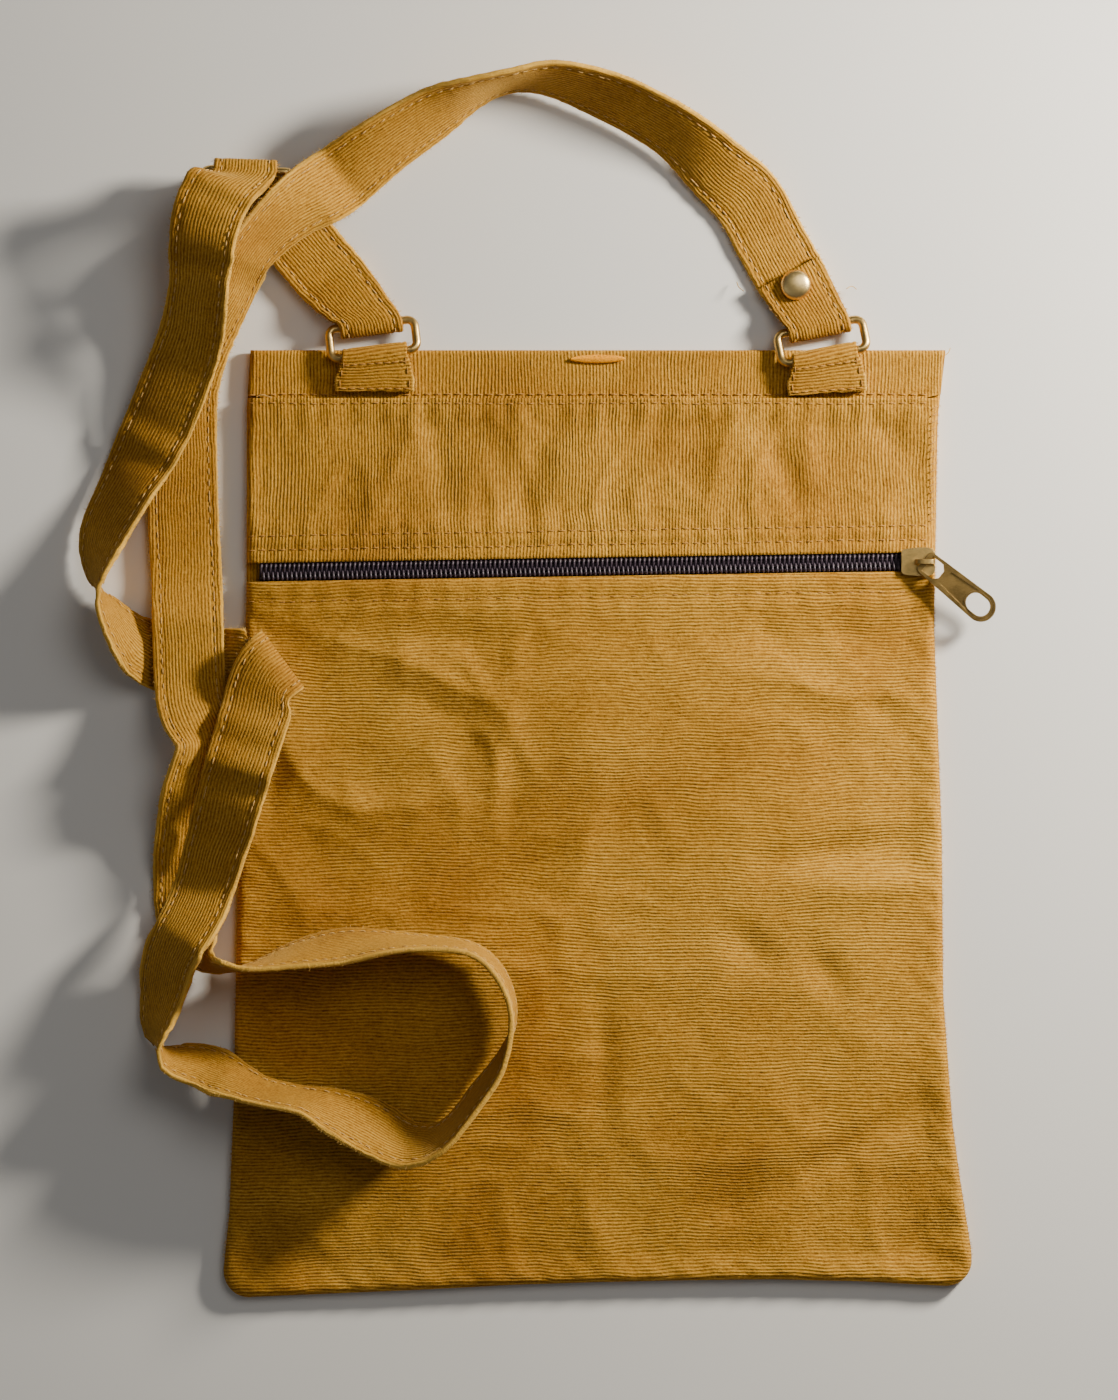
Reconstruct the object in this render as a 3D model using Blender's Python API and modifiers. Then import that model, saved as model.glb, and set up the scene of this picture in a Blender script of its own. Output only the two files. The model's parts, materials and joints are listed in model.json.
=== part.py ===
"""Ribbed velvet shoulder bag lying on its front, with its zip, rings, tabs and long strap.

Metres, +Z up. The origin is the middle of the underside that the bag rests on, +X runs across
the bag and +Y from the bottom seam to the top edge.
"""
from collections import namedtuple
from math import asin, ceil, cos, exp, hypot, pi, radians, sin, sqrt

import bmesh
import bpy
import numpy as np
from mathutils import Matrix, Vector

MM = 0.001
GAP = 0.3 * MM

# Driving sizes of the bag
BAG_W = 211 * MM
BAG_H = 280 * MM
PANEL_T = 1.4 * MM
BAG_PUFF = 4.8 * MM
BAND_PUFF = 3.2 * MM
EDGE_ROLL = 2.6 * MM
CORNER_R = 8 * MM
STRIP_H = 17 * MM
BAND_TOP_DROP = 13.8 * MM

# Driving sizes of the zip
COIL_W = 5.0 * MM
COIL_H = 2.0 * MM
TAPE_W = 22 * MM
TAPE_T = 1.0 * MM
SLIDER_L = 10.1 * MM
SLIDER_W = 8.6 * MM
SLIDER_T = 1.2 * MM
BRIDGE_L = 6.0 * MM
BRIDGE_W = 1.4 * MM
BRIDGE_T = 0.9 * MM
PULLER_L = 26.0 * MM
PULLER_W_SMALL = 7.2 * MM
PULLER_W_BIG = 9.0 * MM
PULLER_T = 1.5 * MM
PULLER_RIM = 0.85 * MM
PULLER_EYE_L = 5.5 * MM
PULLER_HOLE_BIG = 2.9 * MM
PULLER_HOLE_BIG_L = 7.8 * MM
PULLER_HEADING = radians(-39)
PULLER_DIP = radians(3)

# Driving sizes of the strap, its rings, tabs and rivet
STRAP_W = 21.6 * MM
STRAP_T = 2.0 * MM
STRAP_STEP = 6.0 * MM
STRAP_SLOPE = 0.6
REACH = 3.5 * MM
TAIL_L = 19 * MM
RING_WIRE = 2.6 * MM
RING_SIDE_CLEAR = 0.9 * MM
RING_H = 6.8 * MM
RING_CORNER = 2.4 * MM
RING_SQUEEZE = 0.88
TAB_W = 24.0 * MM
TAB_T = 1.2 * MM
TAB_L = 11.5 * MM
TAB_SQUEEZE = 0.82
RIVET_R = 4.6 * MM
RIVET_H = 2.4 * MM
RIVET_SHARE = 0.75
MOTIF_T = 0.8 * MM
MOTIF_W = 16 * MM
MOTIF_H = 2.4 * MM

# Heights that follow from the layers
SEAM_Z = 3 * PANEL_T + 2 * GAP
TOP_Y = 0.5014 * BAG_H
BOTTOM_Y = -0.498 * BAG_H
RING_W = STRAP_W + 2 * RING_SIDE_CLEAR
HOOK_R = RING_WIRE / 2 + GAP + STRAP_T / 2

Edge = namedtuple("Edge", "y x")
Fold = namedtuple("Fold", "x1 y1 x2 y2 width depth")
Section = namedtuple("Section", "x y roll")
Station = namedtuple("Station", "mid ruling width")

# Side edges: share of the height, share of the width
LEFT_EDGE = [Edge(0.502, -0.486), Edge(0.446, -0.491), Edge(0.236, -0.492), Edge(-0.090, -0.505),
             Edge(-0.301, -0.510), Edge(-0.416, -0.516), Edge(-0.474, -0.525), Edge(-0.498, -0.527)]
RIGHT_EDGE = [Edge(0.502, 0.503), Edge(0.429, 0.492), Edge(0.245, 0.488), Edge(0.200, 0.487),
              Edge(-0.021, 0.498), Edge(-0.191, 0.500), Edge(-0.326, 0.513), Edge(-0.392, 0.525),
              Edge(-0.461, 0.540), Edge(-0.498, 0.542)]
# Bottom seam: how far it sags below its straight line, as shares of the height, left to right
BOTTOM_SAG = [0.014, 0.010, 0.006, 0.001, -0.002, -0.004, -0.005, -0.003, 0.002]

# Zip line: heights of its two ends as shares of the height
ZIP_LEFT = 0.265
ZIP_RIGHT = 0.277

# Creases: two ends as shares of width and height, width as a share of width, depth as a share of the puff
FOLDS = [
    Fold(0.510, -0.289, 0.210, -0.419, 0.022, 0.20),
    Fold(0.513, -0.422, 0.434, -0.474, 0.020, 0.25),
    Fold(-0.499, -0.421, -0.377, -0.486, 0.022, 0.22),
    Fold(0.253, -0.046, 0.454, -0.022, 0.024, 0.22),
    Fold(0.334, -0.075, 0.485, -0.070, 0.024, -0.18),
    Fold(0.193, -0.119, 0.250, -0.149, 0.024, 0.16),
    Fold(0.313, -0.146, 0.350, -0.184, 0.022, 0.16),
    Fold(0.242, 0.209, 0.273, 0.182, 0.020, 0.12),
    Fold(0.385, 0.137, 0.434, 0.104, 0.022, 0.12),
    Fold(0.014, -0.191, 0.018, -0.326, 0.020, 0.14),
    Fold(-0.061, 0.435, -0.101, 0.320, 0.022, 0.16),
    Fold(-0.232, 0.435, -0.210, 0.336, 0.022, 0.12),
    Fold(0.242, 0.432, 0.296, 0.331, 0.022, 0.16),
    Fold(0.405, 0.429, 0.446, 0.391, 0.020, 0.12),
]

# The strap's runs. x and y are shares of the bag's width and height and roll is in degrees: 0 lies flat,
# 90 stands on its edge. Their heights follow from what lies under them.
ARCH = [
    Section(0.252, 0.624, 0), Section(0.223, 0.664, -8), Section(0.185, 0.692, -23), Section(0.127, 0.731, -42),
    Section(0.078, 0.754, -48), Section(0.023, 0.774, -52), Section(-0.054, 0.792, -65), Section(-0.114, 0.790, -77),
    Section(-0.166, 0.778, -70), Section(-0.227, 0.755, -48), Section(-0.300, 0.720, -36), Section(-0.373, 0.679, -18),
    Section(-0.422, 0.654, -38), Section(-0.459, 0.628, -48), Section(-0.489, 0.600, -55),
]
DROP = [
    Section(-0.515, 0.560, -55), Section(-0.539, 0.536, -40), Section(-0.562, 0.509, -22), Section(-0.580, 0.466, -12),
    Section(-0.584, 0.418, -8), Section(-0.582, 0.332, -5), Section(-0.577, 0.263, -5), Section(-0.574, 0.214, -4),
    Section(-0.572, 0.166, -4), Section(-0.567, 0.125, -10), Section(-0.546, 0.080, -32), Section(-0.563, 0.027, -22),
    Section(-0.573, -0.027, -14), Section(-0.574, -0.080, 8), Section(-0.570, -0.116, 34),
]
LOOP = [
    Section(-0.549, -0.150, 72), Section(-0.515, -0.156, 83), Section(-0.483, -0.156, 92), Section(-0.415, -0.142, 110),
    Section(-0.353, -0.134, 117), Section(-0.296, -0.130, 107), Section(-0.237, -0.130, 99), Section(-0.173, -0.136, 97),
    Section(-0.135, -0.158, 97), Section(-0.114, -0.193, 94), Section(-0.115, -0.228, 90), Section(-0.135, -0.264, 80),
    Section(-0.161, -0.291, 76), Section(-0.191, -0.321, 76), Section(-0.222, -0.340, 68), Section(-0.266, -0.344, 50),
    Section(-0.318, -0.325, 43), Section(-0.375, -0.307, 58), Section(-0.409, -0.298, 71), Section(-0.469, -0.288, 70),
    Section(-0.515, -0.273, 59), Section(-0.560, -0.261, 58), Section(-0.600, -0.253, 72),
]
CROSSING = [
    Section(-0.618, -0.231, 108), Section(-0.611, -0.194, 127), Section(-0.596, -0.144, 138), Section(-0.559, -0.091, 145),
    Section(-0.529, -0.019, 154), Section(-0.500, 0.056, 164), Section(-0.476, 0.116, 172),
]
RETURN = [
    Section(-0.500, 0.167, 0), Section(-0.539, 0.168, 0), Section(-0.576, 0.170, 0), Section(-0.614, 0.177, 8),
    Section(-0.653, 0.196, 50), Section(-0.688, 0.231, 76), Section(-0.702, 0.260, 106),
]
RISE = [
    Section(-0.694, 0.304, 133), Section(-0.661, 0.356, 143), Section(-0.618, 0.420, 166), Section(-0.576, 0.497, 163),
    Section(-0.562, 0.536, 152), Section(-0.555, 0.572, 147), Section(-0.549, 0.621, 162), Section(-0.540, 0.650, 174), Section(-0.526, 0.672, 178),
]
STUB = [
    Section(-0.414, 0.614, 0), Section(-0.469, 0.655, 0),
]

# The flat fold at the top of the crossing: its middle and the heading of its crease
CREASE_X = -0.454
CREASE_Y = 0.163
CREASE_HEADING = radians(-53.5)

# Rings: middle of the bar that holds the strap as shares, heading, slope of the ring's plane
RING_RIGHT = (0.331, 0.497, radians(11))
RING_LEFT = (-0.309, 0.499, radians(7))
STRAP_RING_X = -0.487
STRAP_RING_Y = 0.694
STRAP_RING_HEADING = radians(-2)
STRAP_RING_SLOPE = radians(72)

COLOURS = {
    "velvet": (0.50, 0.27, 0.06, 1), "tape": (0.045, 0.025, 0.035, 1), "coil": (0.06, 0.035, 0.05, 1),
    "brass": (0.62, 0.47, 0.24, 1), "thread": (0.85, 0.38, 0.03, 1),
}


def clear_scene():
    for obj in list(bpy.data.objects):
        bpy.data.objects.remove(obj, do_unlink=True)


def material(name):
    mat = bpy.data.materials.get(name)
    if mat is None:
        mat = bpy.data.materials.new(name)
        mat.use_nodes = True
        shader = mat.node_tree.nodes["Principled BSDF"]
        metal = name == "brass"
        shader.inputs["Base Color"].default_value = COLOURS[name]
        shader.inputs["Metallic"].default_value = 1.0 if metal else 0.0
        shader.inputs["Roughness"].default_value = 0.35 if metal else 0.9
    return mat


def add_object(name, mesh, slot, collection):
    obj = bpy.data.objects.new(name, mesh)
    own = material(slot).copy()
    own.name = name + "_" + slot
    mesh.materials.append(own)
    collection.objects.link(obj)
    return obj


def sheet_mesh(name, rows, thickness, offset):
    """A sheet through rows of points, with Solidify giving it its thickness."""
    mesh = bpy.data.meshes.new(name)
    wide = len(rows[0])
    points = [p for row in rows for p in row]
    faces = []
    for r in range(len(rows) - 1):
        for c in range(wide - 1):
            a = r * wide + c
            faces.append((a, a + wide, a + wide + 1, a + 1))
    mesh.from_pydata(points, [], faces)
    mesh.shade_smooth()
    return mesh


def sheet_object(name, rows, thickness, offset, slot, collection):
    obj = add_object(name, sheet_mesh(name, rows, thickness, offset), slot, collection)
    solid = obj.modifiers.new("thickness", "SOLIDIFY")
    solid.thickness = thickness
    solid.offset = offset
    solid.use_even_offset = True
    return obj


def lookup(table, y):
    """Share of the width at a share of the height, between the rows of an edge table."""
    if y >= table[0].y:
        return table[0].x
    for a, b in zip(table, table[1:]):
        if y >= b.y:
            t = (a.y - y) / (a.y - b.y)
            return a.x + (b.x - a.x) * t
    return table[-1].x


def left_x(y):
    return lookup(LEFT_EDGE, y / BAG_H) * BAG_W


def right_x(y):
    return lookup(RIGHT_EDGE, y / BAG_H) * BAG_W


def corner_inset(y):
    """How far the rounded bottom corners pull the sides in at a height."""
    d = y - BOTTOM_Y
    if d >= CORNER_R:
        return 0.0
    return CORNER_R - sqrt(max(CORNER_R ** 2 - (CORNER_R - d) ** 2, 0.0))


def bottom_sag(u):
    t = min(max(u, 0.0), 1.0) * (len(BOTTOM_SAG) - 1)
    i = min(int(t), len(BOTTOM_SAG) - 2)
    return (BOTTOM_SAG[i] + (BOTTOM_SAG[i + 1] - BOTTOM_SAG[i]) * (t - i)) * BAG_H


def zip_y(x):
    t = x / BAG_W + 0.5
    return (ZIP_LEFT + (ZIP_RIGHT - ZIP_LEFT) * t) * BAG_H


def crease_depth(x, y):
    total = 0.0
    for fold in FOLDS:
        a = Vector((fold.x1 * BAG_W, fold.y1 * BAG_H))
        b = Vector((fold.x2 * BAG_W, fold.y2 * BAG_H))
        along = b - a
        p = Vector((x, y)) - a
        t = min(max(p.dot(along) / along.length_squared, 0.0), 1.0)
        away = (p - along * t).length / (fold.width * BAG_W)
        total += fold.depth * exp(-away * away) * sin(pi * (0.15 + 0.7 * t))
    return total * BAG_PUFF


def bag_top(x, y):
    """Height of the upper side of the bag."""
    y_low = BOTTOM_Y
    s = (2 * x - left_x(y) - right_x(y)) / (right_x(y) - left_x(y))
    s = min(abs(s), 1.0)
    across = 1 - s ** 3.0
    t = min(max((y - y_low) / (TOP_Y - y_low), 0.0), 1.0)
    along = min(1.0, (sin(pi * min(t * 1.25, 1.0) * 0.5)) ** 0.8) * (1 - max((t - 0.62) / 0.38, 0.0) ** 1.3)
    puff = BAG_PUFF * across * along
    if t > 0.62:
        puff = max(puff, BAND_PUFF * across * (1 - ((t - 0.75) / 0.25) ** 2 if t > 0.75 else 1.0) * 0.6)
    crease = crease_depth(x, y) * min(1.0, (1 - s) * 8)
    return SEAM_Z + max(puff - crease, 0.0)


def shares(low, high, count):
    return [low + (high - low) * i / count for i in range(count + 1)]


def edge_distance(x, y):
    """Distance to the bag's sewn outline: both sides and the bottom, with its round corners."""
    dx = max(min(x - left_x(y), right_x(y) - x), 0.0)
    dy = max(y - BOTTOM_Y, 0.0)
    if dx < CORNER_R and dy < CORNER_R:
        return max(CORNER_R - hypot(CORNER_R - dx, CORNER_R - dy), 0.0)
    return min(dx, dy)


def outer_z(x, y):
    """Upper side of a back panel, rolled down at the sewn edges."""
    d = min(edge_distance(x, y), EDGE_ROLL)
    drop = EDGE_ROLL - sqrt(EDGE_ROLL ** 2 - (EDGE_ROLL - d) ** 2)
    return bag_top(x, y) - drop


def inner_z(x, y):
    """Inner side of a back panel, closed down to the front panel at the sewn edges."""
    floor_z = PANEL_T + GAP
    if edge_distance(x, y) < PANEL_T:
        return floor_z
    return max(outer_z(x, y) - PANEL_T, floor_z)


def column_insets():
    return [0.0, 0.12 * EDGE_ROLL, 0.4 * EDGE_ROLL, PANEL_T * 1.01, EDGE_ROLL]


def panel_solid(name, rows_y, columns, top_shift, low_shift, collection):
    """A back panel as one solid between its outer and inner sides.

    rows_y are the rows' heights at the middle; top_shift and low_shift tilt the first and last row.
    """
    insets = column_insets()
    outer, inner = [], []
    for r, y in enumerate(rows_y):
        t = r / (len(rows_y) - 1)
        x0 = left_x(y) + corner_inset(y)
        x1 = right_x(y) - corner_inset(y)
        xs = [x0 + d for d in insets] + shares(x0 + insets[-1], x1 - insets[-1], columns)[1:-1]
        xs += [x1 - d for d in reversed(insets)]
        sag_share = min(max((0.1 * BAG_H - (y - BOTTOM_Y)) / (0.1 * BAG_H), 0.0), 1.0)
        top_row, low_row = [], []
        for x in xs:
            shift = top_shift(x) * (1 - t) + low_shift(x) * t
            yy = y + shift - bottom_sag((x - x0) / (x1 - x0)) * sag_share
            top_row.append(Vector((x, yy, outer_z(x, y + shift))))
            low_row.append(Vector((x, yy, inner_z(x, y + shift))))
        outer.append(top_row)
        inner.append(low_row)
    bm = bmesh.new()
    up = [[bm.verts.new(p) for p in row] for row in outer]
    down = [[bm.verts.new(p) for p in row] for row in inner]
    wide = len(up[0])
    for r in range(len(up) - 1):
        for c in range(wide - 1):
            bm.faces.new((up[r][c], up[r + 1][c], up[r + 1][c + 1], up[r][c + 1]))
            bm.faces.new((down[r][c], down[r][c + 1], down[r + 1][c + 1], down[r + 1][c]))
        bm.faces.new((up[r][0], down[r][0], down[r + 1][0], up[r + 1][0]))
        bm.faces.new((up[r][-1], up[r + 1][-1], down[r + 1][-1], down[r][-1]))
    for c in range(wide - 1):
        bm.faces.new((up[0][c], up[0][c + 1], down[0][c + 1], down[0][c]))
        bm.faces.new((up[-1][c], down[-1][c], down[-1][c + 1], up[-1][c + 1]))
    bmesh.ops.recalc_face_normals(bm, faces=bm.faces)
    mesh = bpy.data.meshes.new(name)
    bm.to_mesh(mesh)
    bm.free()
    mesh.shade_smooth()
    return add_object(name, mesh, "velvet", collection)


def zip_tilt(x):
    return zip_y(x) - zip_y(0)


def no_tilt(x):
    return 0.0


def back_panel(collection):
    """The large lower panel of the back, from below the zip to the bottom seam."""
    top = zip_y(0) - COIL_W / 2 - GAP
    rows = shares(top, BOTTOM_Y + CORNER_R, 19)
    rows += [BOTTOM_Y + d for d in (EDGE_ROLL * 1.7, EDGE_ROLL, PANEL_T * 1.01, 0.4 * EDGE_ROLL, 0.12 * EDGE_ROLL, 0.0)]
    return panel_solid("back_panel", rows, 16, zip_tilt, no_tilt, collection)


def back_band(collection):
    """The band above the zip, whose top hem lies over the edge strip."""
    rows = shares(TOP_Y - BAND_TOP_DROP, zip_y(0) + COIL_W / 2 + GAP, 8)
    return panel_solid("back_band", rows, 16, no_tilt, zip_tilt, collection)


def front_panel(collection):
    """The hidden front, rolled over the top edge so that its hem shows as a strip on the back."""
    columns = 12
    rows = []
    turn_r = (PANEL_T + GAP) / 2
    mid = PANEL_T / 2

    def row_at(y, z, pull, sag):
        x0 = left_x(y) + pull
        x1 = right_x(y) - pull
        return [Vector((x, y - bottom_sag((x - x0) / (x1 - x0)) * sag, z)) for x in shares(x0, x1, columns)]

    for a in (0.0, 0.25, 0.5, 0.75, 1.0):
        y = BOTTOM_Y + CORNER_R * (1 - cos(a * pi / 2))
        rows.append(row_at(y, mid, corner_inset(y), 1 - 0.1 * a))
    start = BOTTOM_Y + CORNER_R
    end = TOP_Y - turn_r
    count = 10
    for i in range(1, count + 1):
        t = i / count
        rows.append(row_at(start + (end - start) * t, mid, 0, 0.9 * (1 - t) ** 3))
    for i in range(1, 5):
        a = i * pi / 5
        rows.append(row_at(end + turn_r * sin(a), mid + turn_r * (1 - cos(a)), 0, 0))
    hem = TOP_Y - BAND_TOP_DROP
    tuck = PANEL_T + EDGE_ROLL
    for y, pull in ((end, 0), ((end + hem) / 2, 0), (hem + 4 * GAP, 0), (hem + GAP, tuck), (TOP_Y - STRIP_H, tuck)):
        rows.append(row_at(y, mid + 2 * turn_r, pull, 0))
    rows.reverse()
    return sheet_object("front_panel", rows, PANEL_T, 0, "velvet", collection)


def tape_top(x):
    return bag_top(x, zip_y(x)) - PANEL_T - GAP


def zip_tape(collection):
    """The two halves of the tape as one closed zip shows them, under both panels."""
    rows = []
    for x in shares(left_x(zip_y(0)) + EDGE_ROLL + PANEL_T, right_x(zip_y(0)) - EDGE_ROLL - PANEL_T, 18):
        row = []
        for s in (-1, -0.5, 0, 0.5, 1):
            y = zip_y(x) + s * TAPE_W / 2
            z = min(tape_top(x), bag_top(x, y) - PANEL_T - GAP)
            row.append(Vector((x, y, z)))
        rows.append(row)
    return sheet_object("zip_tape", rows, TAPE_T, -1, "tape", collection)


def zip_coil(collection):
    """The closed coil as a low ribbed bar on the tape."""
    x_end = right_x(zip_y(0)) - SLIDER_L
    rows = []
    profile = [(-0.5, 0.0), (-0.5, 0.55), (-0.32, 0.95), (0.0, 1.0), (0.32, 0.95), (0.5, 0.55), (0.5, 0.0)]
    bm = bmesh.new()
    rings = []
    for x in shares(left_x(zip_y(0)) + EDGE_ROLL + PANEL_T, x_end, 22):
        base = tape_top(x) + GAP
        rings.append([bm.verts.new((x, zip_y(x) + w * COIL_W, base + h * COIL_H)) for w, h in profile])
    for a, b in zip(rings, rings[1:]):
        for i in range(len(profile)):
            j = (i + 1) % len(profile)
            bm.faces.new((a[i], a[j], b[j], b[i]))
    bm.faces.new(list(reversed(rings[0])))
    bm.faces.new(rings[-1])
    bmesh.ops.recalc_face_normals(bm, faces=bm.faces)
    mesh = bpy.data.meshes.new("zip_coil")
    bm.to_mesh(mesh)
    bm.free()
    return add_object("zip_coil", mesh, "coil", collection)


def slider_place():
    """Middle of the slider and the height of its plate's underside."""
    x = right_x(zip_y(0)) - SLIDER_L / 2 - GAP
    low = min(x - SLIDER_L / 2, right_x(zip_y(0)) - SLIDER_L)
    tops = [bag_top(low, zip_y(x) + side * SLIDER_W / 2) for side in (-1, 1)]
    return Vector((x, zip_y(x), max(tops + [tape_top(low) + COIL_H]) + GAP))


def boxes_mesh(name, boxes):
    """A union of boxes given by their low and high corners."""
    merged = None
    for low, high in boxes:
        bm = bmesh.new()
        bmesh.ops.create_cube(bm, size=1.0)
        size = high - low
        bmesh.ops.scale(bm, vec=size, verts=bm.verts)
        bmesh.ops.translate(bm, vec=(low + high) / 2, verts=bm.verts)
        mesh = bpy.data.meshes.new(name)
        bm.to_mesh(mesh)
        bm.free()
        if merged is None:
            merged = mesh
        else:
            merged = union(name, merged, mesh)
    return merged


def union(name, first, second, operation="UNION"):
    a = bpy.data.objects.new("first", first)
    b = bpy.data.objects.new("second", second)
    bpy.context.scene.collection.objects.link(a)
    bpy.context.scene.collection.objects.link(b)
    cut = a.modifiers.new("join", "BOOLEAN")
    cut.operation = operation
    cut.solver = "EXACT"
    cut.object = b
    graph = bpy.context.evaluated_depsgraph_get()
    graph.update()
    result = bpy.data.meshes.new_from_object(a.evaluated_get(graph))
    result.name = name
    bpy.data.objects.remove(a, do_unlink=True)
    bpy.data.objects.remove(b, do_unlink=True)
    return result


def zip_slider(collection):
    """Slider plate with side flanges and the bridge that holds the puller's bar."""
    c = slider_place()
    half_l = SLIDER_L / 2
    half_w = SLIDER_W / 2
    top = c.z + SLIDER_T
    bridge_z = top + PULLER_T + 3 * GAP
    bx = c.x + half_l - BRIDGE_L
    half_b = BRIDGE_W / 2
    overlap = 0.2 * MM
    body_w = COIL_W / 2 - GAP
    boxes = [
        (Vector((c.x - half_l, c.y - half_w, c.z)), Vector((c.x + half_l, c.y + half_w, top))),
        (Vector((right_x(zip_y(0)) - SLIDER_L + GAP, c.y - body_w, tape_top(c.x - half_l) + GAP)),
         Vector((c.x + half_l - EDGE_ROLL - PANEL_T, c.y + body_w, c.z + overlap))),
        (Vector((bx, c.y - half_b, top - overlap)), Vector((bx + BRIDGE_T, c.y + half_b, bridge_z + BRIDGE_T))),
        (Vector((bx + BRIDGE_L - BRIDGE_T, c.y - half_b, top - overlap)),
         Vector((bx + BRIDGE_L, c.y + half_b, bridge_z + BRIDGE_T))),
        (Vector((bx + overlap, c.y - half_b, bridge_z)),
         Vector((bx + BRIDGE_L - overlap, c.y + half_b, bridge_z + BRIDGE_T - overlap))),
    ]
    return add_object("zip_slider", boxes_mesh("zip_slider", boxes), "brass", collection)


def hinge_place():
    """The puller's axis: the middle of its bar under the bridge."""
    c = slider_place()
    x = c.x + SLIDER_L / 2 - BRIDGE_L / 2
    return Vector((x, c.y, c.z + SLIDER_T + 1.5 * GAP + PULLER_T / 2))


def plate_outline(length, r0, r1, count=10):
    """Outline of a tapered plate with round ends, along +X."""
    points = []
    for i in range(count + 1):
        a = pi / 2 + pi * i / count
        points.append((r0 * cos(a), r0 * sin(a)))
    for i in range(count + 1):
        a = -pi / 2 + pi * i / count
        points.append((length + r1 * cos(a), r1 * sin(a)))
    return points


def extruded(name, points, thickness):
    bm = bmesh.new()
    low = [bm.verts.new((x, y, -thickness / 2)) for x, y in points]
    face = bm.faces.new(low)
    grown = bmesh.ops.extrude_face_region(bm, geom=[face])
    verts = [v for v in grown["geom"] if isinstance(v, bmesh.types.BMVert)]
    bmesh.ops.translate(bm, vec=(0, 0, thickness), verts=verts)
    bmesh.ops.recalc_face_normals(bm, faces=bm.faces)
    mesh = bpy.data.meshes.new(name)
    bm.to_mesh(mesh)
    bm.free()
    return mesh


def zip_puller(collection):
    """Tapered pull tab with its small eye round the bridge and a long oval hole."""
    bar = PULLER_T / 2
    r0 = PULLER_W_SMALL / 2
    r1 = PULLER_W_BIG / 2
    eye_end = bar + PULLER_EYE_L
    length = PULLER_L - r1
    round_end = [(length + r1 * cos(a), r1 * sin(a)) for a in shares(-pi / 2, pi / 2, 10)]
    outline = [(-bar, r0), (-bar, -r0), (eye_end, -r0)] + round_end + [(eye_end, r0)]
    body = extruded("zip_puller", outline, PULLER_T)
    half = r0 - PULLER_RIM
    eye = [(bar, half), (bar, -half), (eye_end - half * 0.5, -half), (eye_end, -half * 0.45),
           (eye_end, half * 0.45), (eye_end - half * 0.5, half)]
    oval_l = PULLER_HOLE_BIG_L - 2 * PULLER_HOLE_BIG
    start = length - oval_l + r1 - PULLER_HOLE_BIG - 2 * PULLER_RIM
    oval = [(x + start, y) for x, y in plate_outline(oval_l, PULLER_HOLE_BIG, PULLER_HOLE_BIG, 8)]
    mesh = union("zip_puller", body, extruded("eye", eye, PULLER_T * 3), "DIFFERENCE")
    mesh = union("zip_puller", mesh, extruded("oval", oval, PULLER_T * 3), "DIFFERENCE")
    obj = add_object("zip_puller", mesh, "brass", collection)
    turn = Matrix.Rotation(PULLER_HEADING, 4, "Z") @ Matrix.Rotation(PULLER_DIP, 4, "Y")
    obj.matrix_world = Matrix.Translation(hinge_place()) @ turn
    return obj


def ring_matrix(bar_mid, heading, slope):
    """Frame of a ring whose strap bar is at its origin, X along the bar, -Y towards the other bar."""
    turn = Matrix.Rotation(heading, 4, "Z") @ Matrix.Rotation(slope, 4, "X")
    return Matrix.Translation(bar_mid) @ turn


def ring_object(name, frame, collection):
    """A rounded rectangle of wire."""
    half_w = (RING_W + RING_WIRE) / 2
    height = RING_H + RING_WIRE
    r = RING_CORNER
    points = []
    corners = [(half_w - r, -r, 0), (-half_w + r, -r, 1), (-half_w + r, -height + r, 2), (half_w - r, -height + r, 3)]
    for cx, cy, quarter in corners:
        for i in range(4):
            a = (quarter + i / 3) * pi / 2
            points.append((cx + r * cos(a), cy + r * sin(a)))
    curve = bpy.data.curves.new(name + "_wire", "CURVE")
    curve.dimensions = "3D"
    curve.bevel_depth = RING_WIRE / 2
    curve.bevel_resolution = 3
    spline = curve.splines.new("POLY")
    spline.points.add(len(points) - 1)
    for p, (x, y) in zip(spline.points, points):
        p.co = (x, y, 0, 1)
    spline.use_cyclic_u = True
    obj = bpy.data.objects.new(name, curve)
    own = material("brass").copy()
    own.name = name + "_brass"
    curve.materials.append(own)
    collection.objects.link(obj)
    obj.matrix_world = frame
    return obj


def strap_bar_z():
    """Height of a ring's bar that has one layer of the strap under it."""
    return GAP + STRAP_T + GAP + RING_WIRE / 2


def ring_frames():
    """Frames of the two tab rings and the strap ring, each at the bar that holds the strap."""
    frames = {}
    span = RING_H + RING_WIRE
    drop = tab_slot_z() - strap_bar_z()
    slope = -asin(drop / span)
    for name, (x, y, heading) in (("ring_right", RING_RIGHT), ("ring_left", RING_LEFT)):
        up = Vector((-sin(heading), cos(heading), 0)) * span * cos(slope)
        mid = Vector((x * BAG_W, y * BAG_H, 0)) + up
        frames[name] = ring_matrix(Vector((mid.x, mid.y, strap_bar_z())), heading, slope)
    top = Vector((STRAP_RING_X * BAG_W, STRAP_RING_Y * BAG_H, strap_bar_z() + span * sin(STRAP_RING_SLOPE)))
    frames["ring_strap"] = ring_matrix(top, STRAP_RING_HEADING, STRAP_RING_SLOPE)
    return frames


def tab_slot_z():
    """Height of the middle of the slot that a tab leaves for its ring."""
    strip_top = 2 * PANEL_T + GAP
    return strip_top + GAP + TAB_T + GAP + RING_WIRE / 2


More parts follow.
